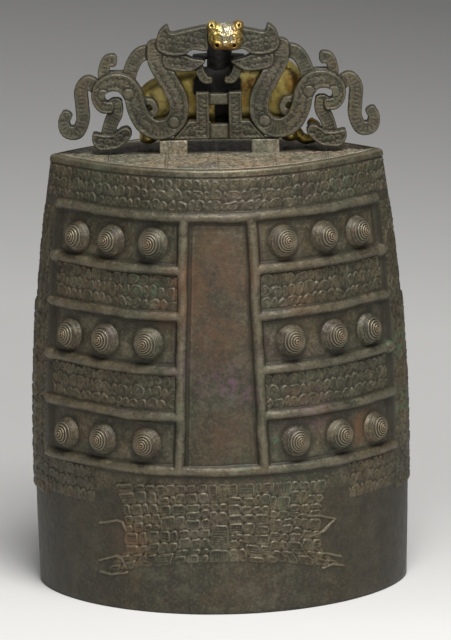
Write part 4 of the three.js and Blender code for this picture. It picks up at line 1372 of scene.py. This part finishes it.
def round_limb(points, radii, sides, marks=None, spacing=0.9):
    """Points, faces and reliefs of a closed round limb along a spline in the beast's plane."""
    path = smooth_path(points, spacing)
    count = len(path)
    share = np.linspace(0, 1, count)
    radius = np.interp(share, np.linspace(0, 1, len(radii)), radii)
    heading = np.gradient(path, axis=0)
    heading /= np.linalg.norm(heading, axis=1, keepdims=True)
    caps = np.sin(np.linspace(0, math.pi / 2, 6))
    ends = [(0, r, -math.sqrt(1 - r * r)) for r in caps[:-1]] + [(n, 1, 0) for n in range(count)]
    ends += [(count - 1, r, math.sqrt(1 - r * r)) for r in caps[:-1][::-1]]
    number, shrink, past = [np.array(column) for column in zip(*ends)]
    number = number.astype(int)
    angle = np.linspace(0, 2 * math.pi, sides + 1)
    along = number * np.linalg.norm(path[1] - path[0]) + past * radius[number]
    rise = marks(along[:, None], angle[None]) if marks else np.zeros((len(number), sides + 1))
    reach = radius[number][:, None] * shrink[:, None] + rise * (shrink[:, None] > 0.5)
    middle = path[number] + heading[number] * (past * radius[number] * 0.55)[:, None]
    x = LOOP_OFFSET + middle[:, :1] + reach * np.cos(angle) * heading[number][:, 1:]
    z = CROWN_HEIGHT + middle[:, 1:] - reach * np.cos(angle) * heading[number][:, :1]
    y = BEAST_Y + reach * np.sin(angle) + 0 * x
    x[:, -1], y[:, -1], z[:, -1] = x[:, 0], y[:, 0], z[:, 0]
    grid = np.stack([x, y, z], -1)
    relief = np.clip(rise * 1.6, -0.8, 0.8)
    return grid.reshape(-1, 3), grid_faces(*grid.shape[:2]), relief.ravel()


def fur(along, angle):
    """Combed locks that lean back from the spine, with a smooth cord down the middle."""
    place = along / 5.5 + 0.35 * np.abs(np.sin(angle)) + 0.5 * np.floor(angle / (2 * math.pi) * 10)
    lock = np.abs(place - np.floor(place) - 0.5) * 2
    return 0.3 * (0.5 - lock**2) + 0.15 * np.cos(10 * angle)


def joined(parts):
    """Several parts, each with its points, faces and reliefs, as one."""
    points, faces, reliefs = zip(*parts)
    starts = np.cumsum([0, *(len(part) for part in points[:-1])])
    faces = [part + start for part, start in zip(faces, starts)]
    return np.concatenate(points), np.concatenate(faces), np.concatenate(reliefs)


def rounded_trunk():
    """The trunk's front and back, as a plate that is round towards its outline."""
    a, h = np.meshgrid(np.arange(-70, 71, BEAST_GRID), np.arange(14, 73, BEAST_GRID))
    outline, _, _ = plate(a, h, TRUNK)
    rounding = np.clip(1 + outline / BEAST_ROUNDING, 0, 1)
    half = BEAST_RADIUS - BEAST_ROUNDING * (1 - np.sqrt(1 - rounding**2))
    place = a / 9 + 0.4 * np.sin(h / 7)
    lock = np.abs(place - np.floor(place) - 0.5) * 2
    locks = 0.35 * (0.5 - lock**2) * ease(h, 30, 50)
    rise = (locks + 0.25 * sway(a, h, 16, 2)) * ease(-outline, 2, 8)
    moved_a, moved_h = drawn_to(outline, a, h, BEAST_GRID)
    x, z = LOOP_OFFSET + moved_a, CROWN_HEIGHT + moved_h
    front, back = [np.stack([x, BEAST_Y + side * (half + rise), z], -1) for side in (-1, 1)]
    return slab(front, back, corners_of(outline).mean(0) < 0, np.clip(rise * 1.2, -0.6, 0.6))


def painted_shade_on(a, y, h):
    """How much painted shade blackens the beast at a place: all round neck and forelegs, and down its
    front.
    """
    neck = ease(np.abs(a - 1), 17, 11) * ease(h, 52, 60) * ease(h, 97, 88)
    under = ease(np.abs(a + 1), 23, 15) * ease(h, 40, 45) * ease(h, 60, 54)
    between = ease(np.abs(a - 2), 8, 3) * ease(h, 14, 20) * ease(h, 50, 44)
    forelegs = ease(np.abs(a), 28, 24) * ease(np.abs(h - FORELEG_HEIGHT), 5, 3)
    front = ease(y, BEAST_Y + 4, BEAST_Y - 6)
    return np.max([neck, under * front, between * front, forelegs], axis=0)


def add_shade(made, name, shade):
    """Store a shade on a piece, from each place's distances across, back and above the crown."""
    place = np.empty(len(made.data.vertices) * 3, np.float32)
    made.data.vertices.foreach_get("co", place)
    x, y, z = place.reshape(-1, 3).T / MM
    value = shade(x - LOOP_OFFSET, y, z - CROWN_HEIGHT).astype(np.float32)
    made.data.attributes.new(name, "FLOAT", "POINT").data.foreach_set("value", value)


beast_parts = [
    rounded_trunk(),
    round_limb([(-56, 28), (-55.5, 14), (-55, 7.5)], (8, 6.5, 7), 28, fur),
    round_limb([(58, 28), (55.5, 14), (55, 7.5)], (8, 6.5, 7), 28, fur),
    round_limb([(58, 14), (66, 5.5), (74, 7), (75.5, 15), (71, 19)], (4.5, 4, 4, 3.8, 3.4), 22, fur, 0.6),
    round_limb([(1, 22), (1, 50), (1, 70), (1, 89)], (9, 10, 9.5, 9.5), 36, fur),
    round_limb([(-18.5, 71), (0, 71.6), (19.5, 70.6)], (2.5, 2.6, 2.6, 2.5), 18, None, 0.6),
]
beast = piece("gilt_beast", *joined(beast_parts), gilding, "gilding", "gilt_beast_body")
add_shade(beast, "soot", painted_shade_on)


# The beast's head hangs over the front of the loop as a small gilt mask with upright ears,
# a curled brow and ringed eyes.
MASK_OFFSET = 6
MASK_DEPTH = 12
MASK_GRID = 0.4
MASK_ROUNDING = 0.7
MASK_HALF = [
    (0, 101.5), (5, 101), (8, 103), (11, 103.2), (14, 101),
    (13.6, 95), (13, 87), (9.5, 81.5), (4, 80), (0, 79.6),
]
EYES = ((-6.6, 84.6), (6.6, 84.2))


def mask_features(a, h, inside):
    """How far the muzzle, brow, eyes, ears and curls stand out of the mask's swell."""
    muzzle = 1.8 * np.exp(-((a / 3.4) ** 2)) * ease(h, 80, 84) * ease(h, 100, 92)
    brow = 1.3 * line(np.hypot(np.abs(a) - 6.4, (h - 89.5) * 1.1) - 4.6, 1.2) * (h > 88.5)
    eyes = 0
    for eye_a, eye_h in EYES:
        away = np.hypot(a - eye_a, h - eye_h)
        eyes = eyes + (1.6 * line(away - 2.3, 1.1) - 2.2 * line(away, 1.5))
    rim_of_ear = np.hypot(np.abs(a) - 10.3, h - 99.6) - 2.2
    hollow_of_ear = np.hypot(np.abs(a) - 10.6, h - 99.6)
    ears = 1.5 * line(rim_of_ear, 1.3) - 1.6 * line(hollow_of_ear, 1.2)
    curls = 0.45 * (hooked_cells(a, h, 4.6, 4.2, 8) - 0.4) * (h > 86) * ease(inside, 0.5, 1.5)
    rough = 0.55 * sway(a, h, 5, 3) + 0.3 * sway(h, a, 2.2, 5)
    return muzzle + brow + eyes + ears + curls + rough


a, h = np.meshgrid(np.arange(-16, 16.1, MASK_GRID), np.arange(77, 106, MASK_GRID))
outline, _, _ = plate(a, h, [*MASK_HALF, *[(-x, z) for x, z in MASK_HALF[-2:0:-1]]])
inside = -outline
swell = 1 - 0.75 * (1 - np.clip(inside / 7, 0, 1)) ** 2.2
features = mask_features(a, h, inside)
rest = HEAD_LEVEL + LOOP_GAP
moved_a, moved_h = drawn_to(outline, a, h, MASK_GRID)
x, z = LOOP_OFFSET + MASK_OFFSET + moved_a, CROWN_HEIGHT + moved_h
front = np.stack([x, -(rest + (MASK_DEPTH - 3) * swell + features), z], -1)
back = np.stack([x, np.full_like(x, -rest), z], -1)
relief = np.clip(0.6 * (features - 0.4), -0.9, 0.9)
mask_parts = slab(front, back, corners_of(outline).mean(0) < 0, relief, MASK_ROUNDING)
mask = piece("gilt_mask", *mask_parts, gilding, "gilding", "gilt_beast_mask")


def bare_on(a, y, h):
    """Where the mask's gilding has rubbed off: down its middle, from the brow to the nose."""
    return 0.85 * ease(np.abs(a - MASK_OFFSET - 1), 7, 3) * ease(h, 84, 88)


def amber_on(a, y, h):
    """Where the mask's gilding is thin and ruddy: on its right side and round its eyes."""
    return np.maximum(0.8 * ease(a - MASK_OFFSET, 3, 9), 0.9 * ease(h, 89, 85))


add_shade(mask, "bare", bare_on)
add_shade(mask, "amber", amber_on)
# The mask's lowest edge is painted black for the shade under the head
add_shade(mask, "soot", lambda a, y, h: ease(h, 83, 79) + 0 * a)


# The studio is one pale sheet, a floor that curves up into a backdrop, under large soft
# lamps. The fall-off of the light is painted on it: nearly white in front, grey behind and
# above. It shows from its front only, so that the bell can be seen from behind it too.
SHEET_FRONT = -1.6
SHEET_BACK = 0.9
SHEET_BEND = 0.6
SHEET_TOP = 2.6
SHEET_HALF = 3
SHEET_START = -0.2  # metres back and up along the sheet at which the first stop lies
SHEET_SPAN = 1.5
SHEET_PAINTED_LEAN = 0.17  # how much sooner the painted fall-off darkens towards the right
# Painted fall-off of the light: places along the sheet and the grey painted there
SHEET_PAINTED_FALLOFF = (
    (0.05, 0.68),
    (0.14, 0.61),
    (0.3, 0.48),
    (0.42, 0.45),
    (0.6, 0.4),
    (0.8, 0.225),
    (0.96, 0.107),
)
SHEET_TINT = (1, 0.99, 0.965)


def sheet_profile():
    """Points from the front edge of the floor to the top of the backdrop, as (y, z)."""
    flat = [(y, 0) for y in np.linspace(SHEET_FRONT, SHEET_BACK - SHEET_BEND, 12)]
    middle = SHEET_BACK - SHEET_BEND
    turns = np.linspace(0, math.pi / 2, 13)[1:]
    bend = [(middle + SHEET_BEND * math.sin(t), SHEET_BEND * (1 - math.cos(t))) for t in turns]
    return np.array(flat + bend + [(SHEET_BACK, SHEET_TOP)])


profile = sheet_profile()
edges = np.array([-SHEET_HALF, SHEET_HALF])
points = np.stack(np.broadcast_arrays(edges, profile[:, :1], profile[:, 1:]), -1)
mesh = bpy.data.meshes.new("sheet")
mesh.from_pydata(points.reshape(-1, 3).tolist(), [], grid_faces(len(profile), 2).tolist())
mesh.shade_smooth()
sheet = bpy.data.objects.new("sheet", mesh)
bpy.context.collection.objects.link(sheet)
paper = Finish("sheet")
x, y, z = [paper.node("ShaderNodeSeparateXYZ", {}, [paper.place], axis) for axis in "XYZ"]
stops = [(position, [grey * tint for tint in SHEET_TINT]) for position, grey in SHEET_PAINTED_FALLOFF]
share = (y + z + x * SHEET_PAINTED_LEAN - SHEET_START) / SHEET_SPAN
matt = paper.surface(paper.node("ShaderNodeValToRGB", {"stops": stops}, [share]), 0.85, 0.0)
behind = paper.node("ShaderNodeNewGeometry", {}, {}, "Backfacing")
clear = paper.node("ShaderNodeBsdfTransparent", {}, {})
mesh.materials.append(paper.ended(paper.node("ShaderNodeMixShader", {}, [behind, matt, clear])))


def lamp(name, place, aim, size, power):
    """A square soft lamp; places and size in metres, power in watts."""
    data = bpy.data.lights.new(name, "AREA")
    data.size = size
    data.energy = power
    obj = bpy.data.objects.new(name, data)
    obj.location = place
    obj.rotation_euler = (Vector(aim) - Vector(place)).to_track_quat("-Z", "Y").to_euler()
    bpy.context.collection.objects.link(obj)


lamp("key", (0.3, -1.05, 2.3), (0, 0, 0.25), 1.1, 78)
lamp("fill", (0.8, -2.5, 1.1), (0, 0, 0.2), 1.4, 10)
world = bpy.data.worlds.new("world")
world.use_nodes = True
background = world.node_tree.nodes["Background"].inputs
background["Color"].default_value = (0.8, 0.8, 0.8, 1)
background["Strength"].default_value = 0.3
bpy.context.scene.world = world
bpy.context.scene.view_settings.view_transform = "Standard"
